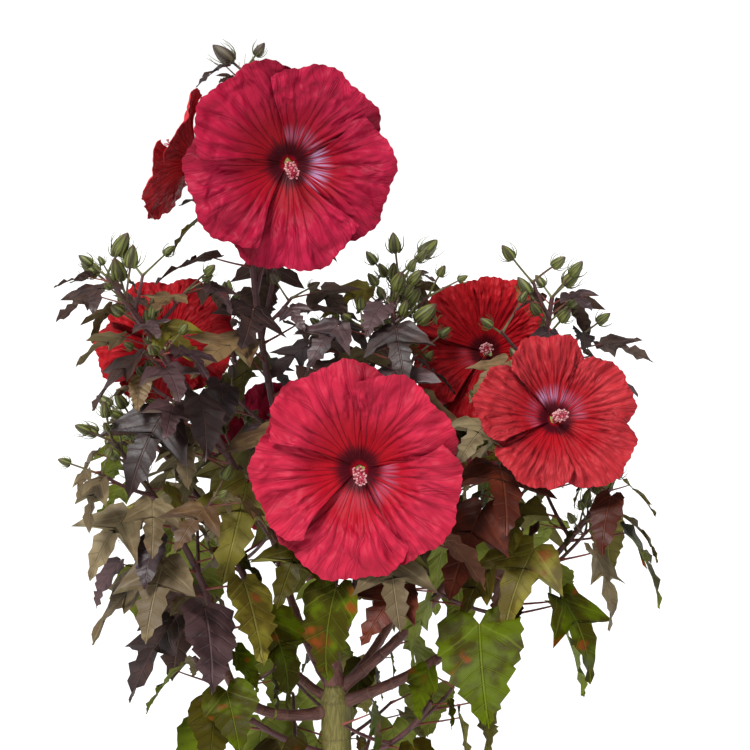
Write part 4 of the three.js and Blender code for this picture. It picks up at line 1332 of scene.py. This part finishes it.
undersides = {
    "purple": (ink(138, 116, 104), ink(104, 80, 74), ink(164, 142, 126)),
    "dark": (ink(116, 94, 82), ink(86, 64, 56), ink(142, 118, 104)),
    "grey": (ink(172, 160, 120), ink(132, 118, 84), ink(194, 182, 140)),
    "bronze": (ink(158, 140, 100), ink(120, 102, 72), ink(180, 162, 122)),
    "rust": (ink(130, 88, 66), ink(98, 60, 44), ink(156, 112, 86)),
    "olive": (ink(170, 162, 92), ink(134, 124, 62), ink(192, 184, 116)),
    "darkGreen": (ink(146, 142, 70), ink(110, 104, 44), ink(170, 166, 94)),
    "green": (ink(160, 172, 72), ink(126, 134, 48), ink(184, 194, 98)),
    "fresh": (ink(186, 200, 88), ink(152, 166, 60), ink(204, 214, 116)),
}
undersideFinish = (0.3, 0.6, 0.1)  # the share of spots, the roughness and the shine
leafFinishes = []
for kind, values in leafKinds.items():
    spot = values[3]
    leafFinishes.append(leafMaterial(kind + "Leaf", *values))
    leafFinishes.append(leafMaterial(kind + "Underside", *undersides[kind], spot, *undersideFinish))
print("materials:", len(finishes) + len(leafFinishes))

# A leaf's outline, half of it, from the petiole to the tip: distance and degrees off the midrib, one place
# for each station. Teeth are cut in it at every second station.
bladeShape = {
    "lobed": (
        (0, 0), (0.12, 160), (0.2, 132), (0.23, 110), (0.27, 92), (0.37, 76), (0.5, 64), (0.63, 56),
        (0.76, 50), (0.63, 46), (0.49, 41), (0.35, 34), (0.32, 27), (0.4, 22), (0.5, 18.5), (0.61, 15),
        (0.71, 11.6), (0.81, 8), (0.9, 4.8), (0.96, 2.2), (1, 0),
    ),
    "lance": (
        (0, 0), (0.09, 140), (0.13, 112), (0.17, 90), (0.21, 72), (0.25, 58), (0.3, 47), (0.35, 39),
        (0.4, 33), (0.45, 28.5), (0.5, 24.5), (0.56, 20.5), (0.62, 16.8), (0.68, 13.4), (0.74, 10.3),
        (0.8, 7.5), (0.85, 5.4), (0.9, 3.5), (0.94, 2.1), (0.97, 1), (1, 0),
    ),
    "broad": (
        (0, 0), (0.16, 148), (0.25, 126), (0.32, 108), (0.37, 93), (0.4, 80), (0.425, 70), (0.45, 61),
        (0.48, 53), (0.51, 45.5), (0.54, 39), (0.58, 33), (0.62, 27), (0.67, 21.5), (0.73, 16.2),
        (0.79, 11.6), (0.85, 7.8), (0.9, 5), (0.94, 2.9), (0.97, 1.3), (1, 0),
    ),
    "stations": 20,
    "lobedShare": 0.76,  # of the leaves that can be lobed
    "lobes": (0.7, 0.3),
    "slim": (0.9, 0.25, 0.5),  # with the lobes of its height, less this, and by chance
    "plainMidrib": 0.9,
    "lobedMidrib": (0, 0.3, 1),  # where the stations sit on the midrib: at first, at the notch, at the tip
    "notch": 12,  # the station of the notch
    "tooth": 0.034,
    "toothSpread": (0.6, 0.8),
    "toothTurn": (15, 30, 5),  # within these degrees of the tip, a tooth turns the outline instead
    "thickness": 0.012,
    "wave": 0.036,  # how far the rim rises and falls
    "waveRate": (1.1, 1.3),
    "ripple": 0.5,  # the finer waves, to the wave
    "rippleRate": (2.6, 2.2),
    "twist": 0.2,
    "sway": 0.14,  # how far the tip swings aside
    "lowShare": 0.86,  # the size of the low leaves
}
fullTurn = 6.3

templates = {
    "blade": bladeTemplate(bladeShape["stations"]),
    "petiole": tubeTemplate(5, 6),
    "twig": tubeTemplate(12, 7),
    "stem": tubeTemplate(56, 9),
    "bough": tubeTemplate(60, 14),
    "trunk": tubeTemplate(150, 28),
    "bud": budTemplate(),
    "bract": tubeTemplate(4, 4),
    "cup": tubeTemplate(10, 30),
    "ball": ballTemplate(),
}


# One leaf: its outline between broad, lance-shaped and lobed, its teeth, and the waves of its rim
def bladeCopy(leaf, roll, kind, share):
    station, side, sheet = templates["blade"]["corners"].T
    station = station.astype(int)
    isLobed = roll() < bladeShape["lobedShare"]
    lobes = leaf["lobes"] * chance(roll, bladeShape["lobes"]) if isLobed else 0.0
    slimming, less, byChance = bladeShape["slim"]
    slim = clamp(leaf["lobes"] * slimming - less + byChance * (roll() - 0.5))
    broad, lance, lobed = (np.array(bladeShape[key], float) for key in ("broad", "lance", "lobed"))
    plain = broad + (lance - broad) * slim
    reach, angle = (plain + (lobed - plain) * lobes).T
    inner = np.arange(1, len(reach) - 1)
    tooth = bladeShape["tooth"] * (-1.0) ** inner * chance(roll, bladeShape["toothSpread"])
    nearTip, fade, turning = bladeShape["toothTurn"]
    aside = np.clip((angle[inner] - nearTip) / fade, 0, 1)
    reach[inner] *= 1 + tooth * aside
    angle[inner] *= 1 + turning * tooth * (1 - aside)
    angle = np.radians(angle)
    last = len(reach) - 1
    plainRib = np.maximum(0, reach * np.cos(angle) * bladeShape["plainMidrib"])
    notch = bladeShape["notch"]
    lobedRib = np.interp(np.arange(last + 1), (0, notch, last), bladeShape["lobedMidrib"])
    rib = np.maximum.accumulate(plainRib + (lobedRib - plainRib) * lobes)
    rib[last] = 1
    out = np.abs(side)
    x = rib[station] * (1 - out) + (reach * np.cos(angle))[station] * out
    y = side * (reach * np.sin(angle))[station]
    phase = fullTurn * roll()
    along, across = bladeShape["waveRate"]
    wave = bladeShape["wave"] * np.sin(station * along + side * across + phase) * out
    along, across = bladeShape["rippleRate"]
    rippling = np.sin(station * along + side * across + phase)
    ripple = bladeShape["wave"] * bladeShape["ripple"] * rippling * out
    raised = wave + ripple + (roll() - 0.5) * bladeShape["twist"] * y
    raised = raised + sheet * bladeShape["thickness"]
    swayed = y + (roll() - 0.5) * bladeShape["sway"] * np.maximum(x, 0) ** 2
    places = bladePoints(leaf, x * share, swayed * share, raised * share)
    pattern = np.column_stack([x, y, np.full(len(x), roll())])
    slot = 2 * list(leafKinds).index(kind)
    return {"template": templates["blade"], "places": places, "pattern": pattern, "slot": slot}


petioleShape = {
    "knee": 0.55,
    "sag": 0.04,
    "sunk": 0.02,  # how far it runs into the blade
    "usual": 90,  # the length of a leaf whose petiole has the radius of limbSizes
    "ends": (1.25, 0.8),
    "collar": 0.6,
}


def petioleCopy(leaf, slot):
    span = np.linalg.norm(leaf["base"] - leaf["root"])
    knee = leaf["root"] + leaf["way"] * span * petioleShape["knee"] - up * span * petioleShape["sag"]
    end = leaf["base"] + leaf["ahead"] * leaf["length"] * petioleShape["sunk"]
    thick = limbSizes["petioleRadius"] * math.sqrt(leaf["length"] / petioleShape["usual"])
    one = limb(leaf["root"], knee, end, (thick * petioleShape["ends"][0], thick * petioleShape["ends"][1]))
    radius = limbRadius(templates["petiole"], one, collar=petioleShape["collar"])
    return tubeCopy(templates["petiole"], one, radius, slot)


# Which finish a leaf has: purple above and at the front left, greyer further left, greener low down, to the
# right and inside. Each kind is dealt out by chance from the row for its place.
leafDealing = {
    "line": 455,  # the height where purple turns to green, over the trunk
    "slope": 0.42,  # how much higher it is further to the right
    "inner": 110,  # nearer to the trunk than this, it is higher too
    "innerLift": 70,
    "spread": 190,
    "half": 60,  # of the middle band's height
    "high": ("dark", "purple", "purple", "dark", "olive", "purple", "dark", "bronze"),
    "middle": ("bronze", "purple", "olive", "rust", "darkGreen", "bronze", "grey", "dark"),
    "low": ("green", "darkGreen", "fresh", "green", "olive", "darkGreen", "green"),
    "left": ("grey", "fresh", "bronze", "green", "olive", "purple", "grey", "fresh", "olive", "grey"),
    "leftFront": ("purple", "grey", "dark", "purple", "bronze", "purple", "grey", "dark"),
    "front": -70,  # nearer than this, a leaf on the left is from leftFront
    "right": ("rust", "darkGreen", "olive", "darkGreen", "green", "rust", "olive", "grey"),
    "rightEdge": 40,
    "rightHeights": (380, 560),
    "leftEdge": -120,
    "leftHeights": (300, 620),
    "freshest": 70,  # in front of freshFront, a longer leaf is no longer fresh green
    "freshFront": -30,
}


def leafKind(leaf, roll):
    middle = leaf["base"] + leaf["ahead"] * leaf["length"] * 0.5
    line = leafDealing["line"] + leafDealing["slope"] * middle[0]
    if math.hypot(middle[0], middle[1]) < leafDealing["inner"]:
        line += leafDealing["innerLift"]
    height = middle[2] - line + (roll() - 0.5) * leafDealing["spread"]
    half = leafDealing["half"]
    band = "high" if height > half else "middle" if height > -half else "low"
    lowest, highest = leafDealing["leftHeights"]
    if middle[0] < leafDealing["leftEdge"] and lowest < middle[2] < highest:
        band = "leftFront" if middle[1] < leafDealing["front"] else "left"
    lowest, highest = leafDealing["rightHeights"]
    if middle[0] > leafDealing["rightEdge"] and lowest < middle[2] < highest:
        band = "right"
    kinds = leafDealing[band]
    kind = kinds[int(roll() * len(kinds))]
    old = leaf["length"] > leafDealing["freshest"] and middle[1] < leafDealing["freshFront"]
    return "darkGreen" if kind == "fresh" and old else kind


budShape = {
    "size": 1.22,
    "sideway": (0.31, 0.2, 0.93),
    "girth": (0.56, 0.75, 0.06, 0.35),  # its width, how it narrows to its point, and how it starts
    "ribs": 5,
    "ribHeight": 0.08,
    "bracts": 9,
    "bractRadius": 0.75,
    "bractTip": 0.2,
    "bractRoot": 0.16,  # out from the foot, in bud lengths
    "bractKnee": (0.5, 0.12, 0.2),  # out, more by chance, and up
    "bractOut": (0.36, 0.25),
    "bractUp": (0.6, 0.3),
    "bractTurn": 0.3,
    "sunk": 0.06,  # how far the stalk runs into the bud
    "bow": 1.5,
    "stalk": (1.3, 1.1, 0.3),  # its radius at its foot, then at the bud for its size, and more for all
}


# One bud: its body with ribs, the narrow bracts round it, and its stalk
def budCopies(bud, roll):
    side = unit(np.cross(bud["way"], budShape["sideway"]))
    front = np.cross(bud["way"], side)
    length = budGrowth["length"] * bud["size"] * budShape["size"]
    corners = templates["bud"]["corners"]
    height = (corners[:, 2] + 1) / 2
    ring = np.maximum(np.hypot(corners[:, 0], corners[:, 1]), 1e-6)
    cosine, sine = corners[:, 0] / ring, corners[:, 1] / ring
    turned = np.arctan2(sine, cosine)
    girth, point, start, swell = budShape["girth"]
    wide = girth * np.maximum(1 - height, 0) ** point * (height + start) ** swell * (ring > 1e-4)
    wide = wide * (1 + budShape["ribHeight"] * np.cos(budShape["ribs"] * turned))
    out = cosine[:, None] * side + sine[:, None] * front
    places = bud["foot"] + length * (height[:, None] * bud["way"] + wide[:, None] * out)
    pattern = np.column_stack([height, cosine, sine])
    copies = [{"template": templates["bud"], "places": places, "pattern": pattern, "slot": 0}]
    for number in range(budShape["bracts"]):
        angle = 2 * math.pi * (number + budShape["bractTurn"] * roll()) / budShape["bracts"]
        away = side * math.cos(angle) + front * math.sin(angle)
        root = bud["foot"] + away * length * budShape["bractRoot"]
        kneeOut = chance(roll, budShape["bractKnee"])
        knee = bud["foot"] + length * (away * kneeOut + bud["way"] * budShape["bractKnee"][2])
        tipOut = chance(roll, budShape["bractOut"])
        tipUp = chance(roll, budShape["bractUp"])
        tip = bud["foot"] + length * (away * tipOut + bud["way"] * tipUp)
        bract = limb(root, knee, tip, (budShape["bractRadius"] * bud["size"], budShape["bractTip"]))
        copies.append(tubeCopy(templates["bract"], bract, limbRadius(templates["bract"], bract), 1))
    stalkEnd = bud["foot"] + bud["way"] * length * budShape["sunk"]
    knee = (bud["root"] + stalkEnd) / 2 + side * budShape["bow"]
    footRadius, forSize, forAll = budShape["stalk"]
    stalk = limb(bud["root"], knee, stalkEnd, (footRadius, forSize * bud["size"] + forAll))
    copies.append(tubeCopy(templates["petiole"], stalk, limbRadius(templates["petiole"], stalk), 2))
    return copies


bronzeMasses = ("leaves_right", "leaves_centre")
shownTwig = 0.72  # a twig's radius, to that in the solids
for name, mass in masses.items():
    roll = ownDice(mass, "looks", 1)
    grown = mass["grown"]
    isLow = name.startswith("leaves_low")
    share = bladeShape["lowShare"] if isLow else 1
    blades = [bladeCopy(leaf, roll, leafKind(leaf, roll), share) for leaf in grown["leaves"]]
    slotName = "green_leaves" if isLow else "bronze_leaves" if name in bronzeMasses else "dark_leaves"
    makePiece(name + "_blades", blades, leafFinishes, name)
    stem = limbs[name]
    first, reach = leafGrowth["stemSpan"]
    knots = [first + reach * (k + 0.5) / mass["leaves"] for k in range(mass["leaves"])]
    wood = [tubeCopy(templates["stem"], stem, limbRadius(templates["stem"], stem, knots, 0.0))]
    for twig in grown["twigs"]:
        wood.append(tubeCopy(templates["twig"], twig, limbRadius(templates["twig"], twig) * shownTwig))
    wood += [petioleCopy(leaf, 1) for leaf in grown["leaves"]]
    makePiece(name + "_stems", wood, [finishes["stem"], finishes["petiole"]], name)
    if grown["buds"]:
        buds = [copy for bud in grown["buds"] for copy in budCopies(bud, roll)]
        budFinishes = [finishes[mass.get("budFinish", "bud")], finishes["bract"], finishes["greenStalk"]]
        makePiece(name + "_buds", buds, budFinishes, name)
print("masses of leaves:", len(masses))

barkRelief = {
    "lump": 0.5,  # millimetres
    "lumpSize": 0.09,
    "trunkLump": 1.6,  # to those of a bough
    "ring": 0.5,  # its height and half its width
    "ringHalf": 2.4,
    "boughCollar": 0.5,
    "boughKnot": 0.09,
    "fewestKnots": 3,
    "trunkProfile": (
        (0, 27), (0.03, 23.2), (0.09, 19.4), (0.22, 17.5),
        (0.5, 16.5), (0.82, 16.3), (0.93, 15.6), (1, 9.0),
    ),
}


def barkTube(template, one, radius, depth):
    smooth = tubeCopy(template, one, radius)
    lumps = np.array([noise.noise(Vector(place) * barkRelief["lumpSize"]) for place in smooth["places"]])
    return tubeCopy(template, one, radius + lumps * depth)


trunkShare = templates["trunk"]["corners"][:, 0]
trunkRadius = np.interp(trunkShare, *zip(*barkRelief["trunkProfile"]))
ringGap = limbSizes["trunkRings"]
offRing = np.abs((trunkShare * limbSizes["forkHeight"]) % ringGap - ringGap / 2)
trunkRadius = trunkRadius + barkRelief["ring"] * np.exp(-((offRing / barkRelief["ringHalf"]) ** 2))
trunkLump = barkRelief["lump"] * barkRelief["trunkLump"]
trunk = barkTube(templates["trunk"], limbs["trunk"], trunkRadius, trunkLump)
trunk["places"][trunkShare < 1e-6, 2] = 0  # the foot stays flat
makePiece("trunk_bark_piece", [trunk], [finishes["trunk"]], "trunk")
for name in boughs:
    one = limbs[name]
    span = np.linalg.norm(one["curve"][2] - one["curve"][0])
    count = max(barkRelief["fewestKnots"], round(span / limbSizes["boughRings"]))
    knots = [(k + 0.5) / count for k in range(count)]
    radius = limbRadius(templates["bough"], one, knots, barkRelief["boughCollar"], barkRelief["boughKnot"])
    bark = barkTube(templates["bough"], one, radius, barkRelief["lump"])
    makePiece(name + "_bark_piece", [bark], [finishes["bough"]], name)
print("trunk and boughs:", 1 + len(boughs))


# The turn and place that carry a bloom's own frame, axis along +Z and rim at height 0, to where it grows
def bloomFrame(bloom):
    turn = Vector((0, 0, 1)).rotation_difference(Vector(bloomAxis(bloom)))
    return np.array(turn.to_matrix()), np.array(bloom["rim"], float)


def noiseAt(x, y, z):
    return np.array([noise.noise(Vector(spot)) for spot in np.column_stack([x, y, z])])


# One petal's points. across runs from -1 to 1 and along from the throat to the rim.
def petalPoints(bloom, start, across, along, roll):
    shape = petalShape
    radius = bloom["radius"]
    size = 1 + shape["size"] * (roll() - 0.5)
    wavePhase = fullTurn * roll()
    edgePhase = fullTurn * roll()
    tilt = (roll() - 0.5) * shape["tilt"]
    spread = shape["throatSpan"] + (bloom["petal"] - shape["throatSpan"]) * along ** shape["widen"]
    swing, swingRate = shape["sway"]
    spread = spread * (1 + swing * np.sin(swingRate * along + edgePhase) * along)
    corner = bloom.get("corner", shape["corner"]) * np.abs(across) ** 3
    edge = 1 + shape["edge"] * np.sin(shape["edgeRate"] * across + edgePhase) * along**3
    often, seldom = shape["nickRates"]
    edge = edge + shape["nick"] * np.sin(often * across + wavePhase) * np.sin(seldom * across) * along**6
    reach = radius * (shape["inner"] + (1 - shape["inner"]) * along * size * edge) * (1 - corner * along)
    angle = math.radians(start) + across * np.radians(spread)
    share = np.minimum(reach / radius, 1)
    bowl = -shape["depth"] * radius * (1 - share) ** shape["bowlCurve"]
    curl = shape["curl"] * radius * along**4
    more, fromHere, soon = shape["lapEdge"]
    lapped = across + more * np.clip(across - fromHere, 0, 1)
    lap = shape["lap"] * radius * lapped * np.minimum(1, along * soon)
    ruffle = shape["ruffle"] * radius * np.sin(shape["ruffleRate"] * across + wavePhase) * along**3
    between = np.abs(np.cos(math.pi * petalFinish["veins"] * across))  # 0 on a vein
    rib = shape["rib"] * radius * (between**2 - 0.5) * np.sqrt(along)
    flat = np.column_stack([reach * np.cos(angle), reach * np.sin(angle)])
    own = np.full(len(across), float(bloom["spin"]))  # each bloom has its own swellings
    rateX, rateY = shape["puckerRate"]
    pucker = noiseAt(across * rateX + start, along * rateY, own)
    billow = noiseAt(*(flat / shape["billowSize"]).T, own)
    rateX, rateY, rateZ = shape["crumpleRate"]
    crumple = noiseAt(across * rateX + start, along * rateY + across, own * rateZ)
    onVein, offVein = shape["puckerBetween"]
    soon, late = shape["puckerStart"]
    swollen = onVein + offVein * between
    height = shape["pucker"] * radius * pucker * swollen * np.clip(along * soon - late, 0, 1)
    soon, late = shape["crumpleStart"]
    height = height + shape["crumple"] * radius * crumple * np.clip(along * soon - late, 0, 1)
    height = height + shape["billow"] * radius * billow * along
    height = bowl + curl + lap + ruffle + rib + height + tilt * radius * along
    return np.column_stack([flat, height]), angle, spread


# How far a petal's places lie, in degrees, from the edge of the petal that laps over them
def pastLap(bloom, angle, spread, start):
    over = math.radians(start - petalShape["turn"]) + np.radians(spread)
    return np.degrees(angle - over)


def petalsPiece(name, bloom):
    turn, at = bloomFrame(bloom)
    roll = bloomDice(bloom, "petals")
    joined = bmesh.new()
    layer = joined.verts.layers.float_vector.new("pattern")
    lapLayer = joined.verts.layers.float.new("lapped")
    for number in range(petalShape["count"]):
        made = bmesh.ops.create_grid(
            joined, x_segments=petalShape["grain"][0], y_segments=petalShape["grain"][1], size=0.5
        )
        corners = np.array([vertex.co for vertex in made["verts"]])
        across, along = corners[:, 0] * 2, corners[:, 1] + 0.5
        start = bloom["spin"] + petalShape["turn"] * number
        places, angle, spread = petalPoints(bloom, start, across, along, roll)
        lapped = pastLap(bloom, angle, spread, start)
        places = (places @ turn.T + at) * metres
        for vertex, place, u, v, past in zip(made["verts"], places, across, along, lapped):
            vertex.co = place
            vertex[layer] = (u, v, bloom["paintedSheen"][number])
            vertex[lapLayer] = past
        faces = [face for face in joined.faces if not face.tag]
        bmesh.ops.recalc_face_normals(joined, faces=faces)
        bmesh.ops.solidify(joined, geom=faces, thickness=petalShape["thickness"] * metres)
        for face in joined.faces:
            face.tag = True
    mesh = bpy.data.meshes.new(name)
    joined.to_mesh(mesh)
    joined.free()
    finishPiece(name + "_petals", mesh, [finishes[bloom.get("finish", "crimson")]], name)


# The heart of a bloom, in millimetres along and off its axis. Its cup and bracts start behind the throat.
heart = {
    "columnRadius": (2.6, 1.7),
    "columnBend": (0.5, 0.92),  # where its bend and its tip are along its length
    "leanSide": (0.08, 0.1),
    "leanDown": (0.1, 0.12),
    "stalk": 0.8,
    "cup": ((0, 3.4), (0.1, 6.5), (0.3, 9.5), (0.7, 12), (1, 12.5)),  # radius along the calyx
    "cupFoot": 19,
    "cupLength": 22,
    "cupTurn": 36,
    "lobe": 9,  # how far its five points reach
    "lobeOut": 0.6,
    "lobeUp": (0.45, 0.4),
    "bracts": 10,
    "bractTurn": 0.4,
    "bractOut": (5, 17, 19, 5),  # at its foot, its knee and its tip, and more by chance
    "bractBehind": (17, 16, 3),
    "bractRise": (3, 4),  # by chance, of its knee and its tip
    "bractRadii": (0.9, 0.3),
    "anthers": 44,
    "antherSpan": (0.42, 0.56),
    "antherTurn": 0.5,
    "antherRise": (0.35, 0.4),
    "antherSize": 1.35,
    "antherShape": (1, 0.8, 0.7),
    "filament": 3.6,
    "filamentLength": (0.7, 0.5),
    "filamentLeast": 2.0,
    "filamentBow": 0.6,
    "filamentRadius": 0.28,
    "styles": 5,
    "styleTurn": 0.4,
    "styleOut": 4.2,
    "styleLength": 9,
    "styleKnee": 0.8,
    "styleRadius": 0.45,
    "styleTip": 1.15,
}


def ballCopy(put, middle, shape):
    ball = templates["ball"]["corners"] * shape
    return {"template": templates["ball"], "places": put(middle + ball), "pattern": ball, "slot": 2}


# The column with its anthers and styles, the calyx with the bracts behind it, and the stalk
def bloomHeart(name, bloom):
    turn, at = bloomFrame(bloom)
    roll = bloomDice(bloom, "heart")
    put = lambda points: np.asarray(points, float) @ turn.T + at
    throat = -petalShape["depth"] * bloom["radius"]
    copies = []
    stalk = bloomStalk(bloom)
    radius = limbRadius(templates["twig"], stalk) * heart["stalk"]
    copies.append(tubeCopy(templates["twig"], stalk, radius, 3))
    share, cosine, sine = templates["cup"]["corners"].T
    turned = np.arctan2(sine, cosine)
    lobes = np.cos(5 * (turned - math.radians(bloom["spin"] + heart["cupTurn"]))) * 0.5 + 0.5
    wide = np.interp(share, *zip(*heart["cup"])) + heart["lobe"] * heart["lobeOut"] * lobes * share**3
    lobeUp, lobeLess = heart["lobeUp"]
    high = throat - heart["cupFoot"] + heart["cupLength"] * share
    high = high + heart["lobe"] * lobeUp * (lobes - lobeLess) * share**3
    cup = np.column_stack([wide * cosine, wide * sine, high])
    pattern = np.column_stack([share, cosine, sine])
    copies.append({"template": templates["cup"], "places": put(cup), "pattern": pattern, "slot": 0})
    footOut, kneeOut, tipOut, outByChance = heart["bractOut"]
    footBehind, kneeBehind, tipBehind = heart["bractBehind"]
    kneeRise, tipRise = heart["bractRise"]
    for number in range(heart["bracts"]):
        angle = 2 * math.pi * (number + heart["bractTurn"] * roll()) / heart["bracts"]
        away = np.array([math.cos(angle), math.sin(angle), 0])
        points = [
            away * footOut + up * (throat - footBehind),
            away * kneeOut + up * (throat - kneeBehind + kneeRise * roll()),
            away * (tipOut + outByChance * roll()) + up * (throat - tipBehind + tipRise * roll()),
        ]
        one = limb(*put(points), heart["bractRadii"])
        copies.append(tubeCopy(templates["bract"], one, limbRadius(templates["bract"], one), 0))
    reach = petalShape["columnLength"] * bloom["radius"]
    lean = reach * np.array([chance(roll, heart["leanSide"]), -chance(roll, heart["leanDown"]), 0])
    bend, end = heart["columnBend"]
    axis = [up * throat, up * (throat + bend * reach), up * (throat + reach * end) + lean]
    column = limb(*put(axis), heart["columnRadius"])
    copies.append(tubeCopy(templates["twig"], column, limbRadius(templates["twig"], column), 1))
    bare = limb(*axis, heart["columnRadius"])
    for number in range(heart["anthers"]):
        t = heart["antherSpan"][0] + heart["antherSpan"][1] * (number + roll()) / heart["anthers"]
        angle = number * spiral + heart["antherTurn"] * roll()
        rise = heart["antherRise"][0] + heart["antherRise"][1] * t
        away = np.array([math.cos(angle), math.sin(angle), rise])
        foot = placeOn(bare, t)
        length = heart["filamentLeast"] + heart["filament"] * chance(roll, heart["filamentLength"])
        tip = foot + away * length
        radius = heart["filamentRadius"]
        thread = limb(*put([foot, (foot + tip) / 2 + up * heart["filamentBow"], tip]), (radius, radius))
        copies.append(tubeCopy(templates["bract"], thread, radius, 1))
        copies.append(ballCopy(put, tip, heart["antherSize"] * np.array(heart["antherShape"])))
    for number in range(heart["styles"]):
        angle = 2 * math.pi * number / heart["styles"] + heart["styleTurn"]
        away = np.array([math.cos(angle), math.sin(angle), 0])
        foot = placeOn(bare, 1)
        knee = foot + up * heart["styleLength"] * heart["styleKnee"]
        tip = foot + away * heart["styleOut"] + up * heart["styleLength"]
        radius = heart["styleRadius"]
        style = limb(*put([foot, knee, tip]), (radius, radius))
        copies.append(tubeCopy(templates["bract"], style, radius, 1))
        copies.append(ballCopy(put, tip, heart["styleTip"]))
    materials = [finishes["calyx"], finishes["column"], finishes["anther"], finishes["stem"]]
    makePiece(name + "_heart", copies, materials, name)


for name, bloom in blooms.items():
    petalsPiece(name, bloom)
    bloomHeart(name, bloom)
print("blooms:", len(blooms))

studio = {
    "target": (0.0395, 0, 0.620),
    "distance": 2.4,
    "pitch": 5,
    "lens": 108,
    "key": (-0.42, -0.72, 0.95),  # the way to the key light
    "keyStrength": 3.6,
    "keyWidth": 16,  # degrees
    "sky": (-0.42, -0.5, 0.76),  # where the soft light is brightest
    "skyLeast": 0.42,
    "skyMost": 0.6,
    "skyFocus": 2.5,
    "ground": 1.05,  # how bright the sky looks behind the shrub
    "keyDistance": 3,
    "floorSize": 60,
    "floorColour": (0.95, 0.95, 0.95, 1),
    "floorRoughness": 0.9,
}

light = bpy.data.lights.new("key", "SUN")
light.energy = studio["keyStrength"]
light.angle = math.radians(studio["keyWidth"])
key = bpy.data.objects.new("key", light)
key.location = Vector(studio["key"]) * studio["keyDistance"]
key.rotation_euler = Vector(studio["key"]).to_track_quat("Z", "Y").to_euler()
bpy.context.scene.collection.objects.link(key)
camera = bpy.data.objects.new("camera", bpy.data.cameras.new("camera"))
pitch = math.radians(studio["pitch"])
away = Vector((0, -math.cos(pitch), math.sin(pitch))) * studio["distance"]
camera.location = Vector(studio["target"]) + away
camera.rotation_euler = (math.pi / 2 - pitch, 0, 0)
camera.data.lens = studio["lens"]
bpy.context.scene.collection.objects.link(camera)
bpy.context.scene.camera = camera

# A soft sky, brightest above and before the shrub on its left, and a white ground behind it
world = bpy.data.worlds.new("studio")
world.use_nodes = True
world.node_tree.nodes.clear()
sky = Wire(world.node_tree)
heading = sky.node("ShaderNodeTexCoord", None, None, "Generated")
sides = {0: heading, 1: studio["sky"]}
towards = heading.node("ShaderNodeVectorMath", {"operation": "DOT_PRODUCT"}, sides, "Value")
towards = towards.sum("POWER", towards.sum("MAXIMUM", towards, 0), studio["skyFocus"])
seen = sky.node("ShaderNodeLightPath", None, None, "Is Camera Ray")
strength = towards * studio["skyMost"] + studio["skyLeast"]
strength = strength * (1 - seen) + seen * studio["ground"]
glowing = sky.node("ShaderNodeBackground", None, {"Color": (1, 1, 1, 1), "Strength": strength})
sky.node("ShaderNodeOutputWorld", None, {"Surface": glowing})
bpy.context.scene.world = world
bpy.context.scene.view_settings.view_transform = "Standard"

floorShape = bmesh.new()
bmesh.ops.create_grid(floorShape, x_segments=1, y_segments=1, size=studio["floorSize"])
floorMesh = bpy.data.meshes.new("floor")
floorShape.to_mesh(floorMesh)
floorShape.free()
floor = bpy.data.objects.new("floor", floorMesh)
bpy.context.scene.collection.objects.link(floor)
floorFinish = bpy.data.materials.new("paleFloor")
floorFinish.use_nodes = True
floorShader = floorFinish.node_tree.nodes["Principled BSDF"]
floorShader.inputs["Base Color"].default_value = studio["floorColour"]
floorShader.inputs["Roughness"].default_value = studio["floorRoughness"]
floorMesh.materials.append(floorFinish)
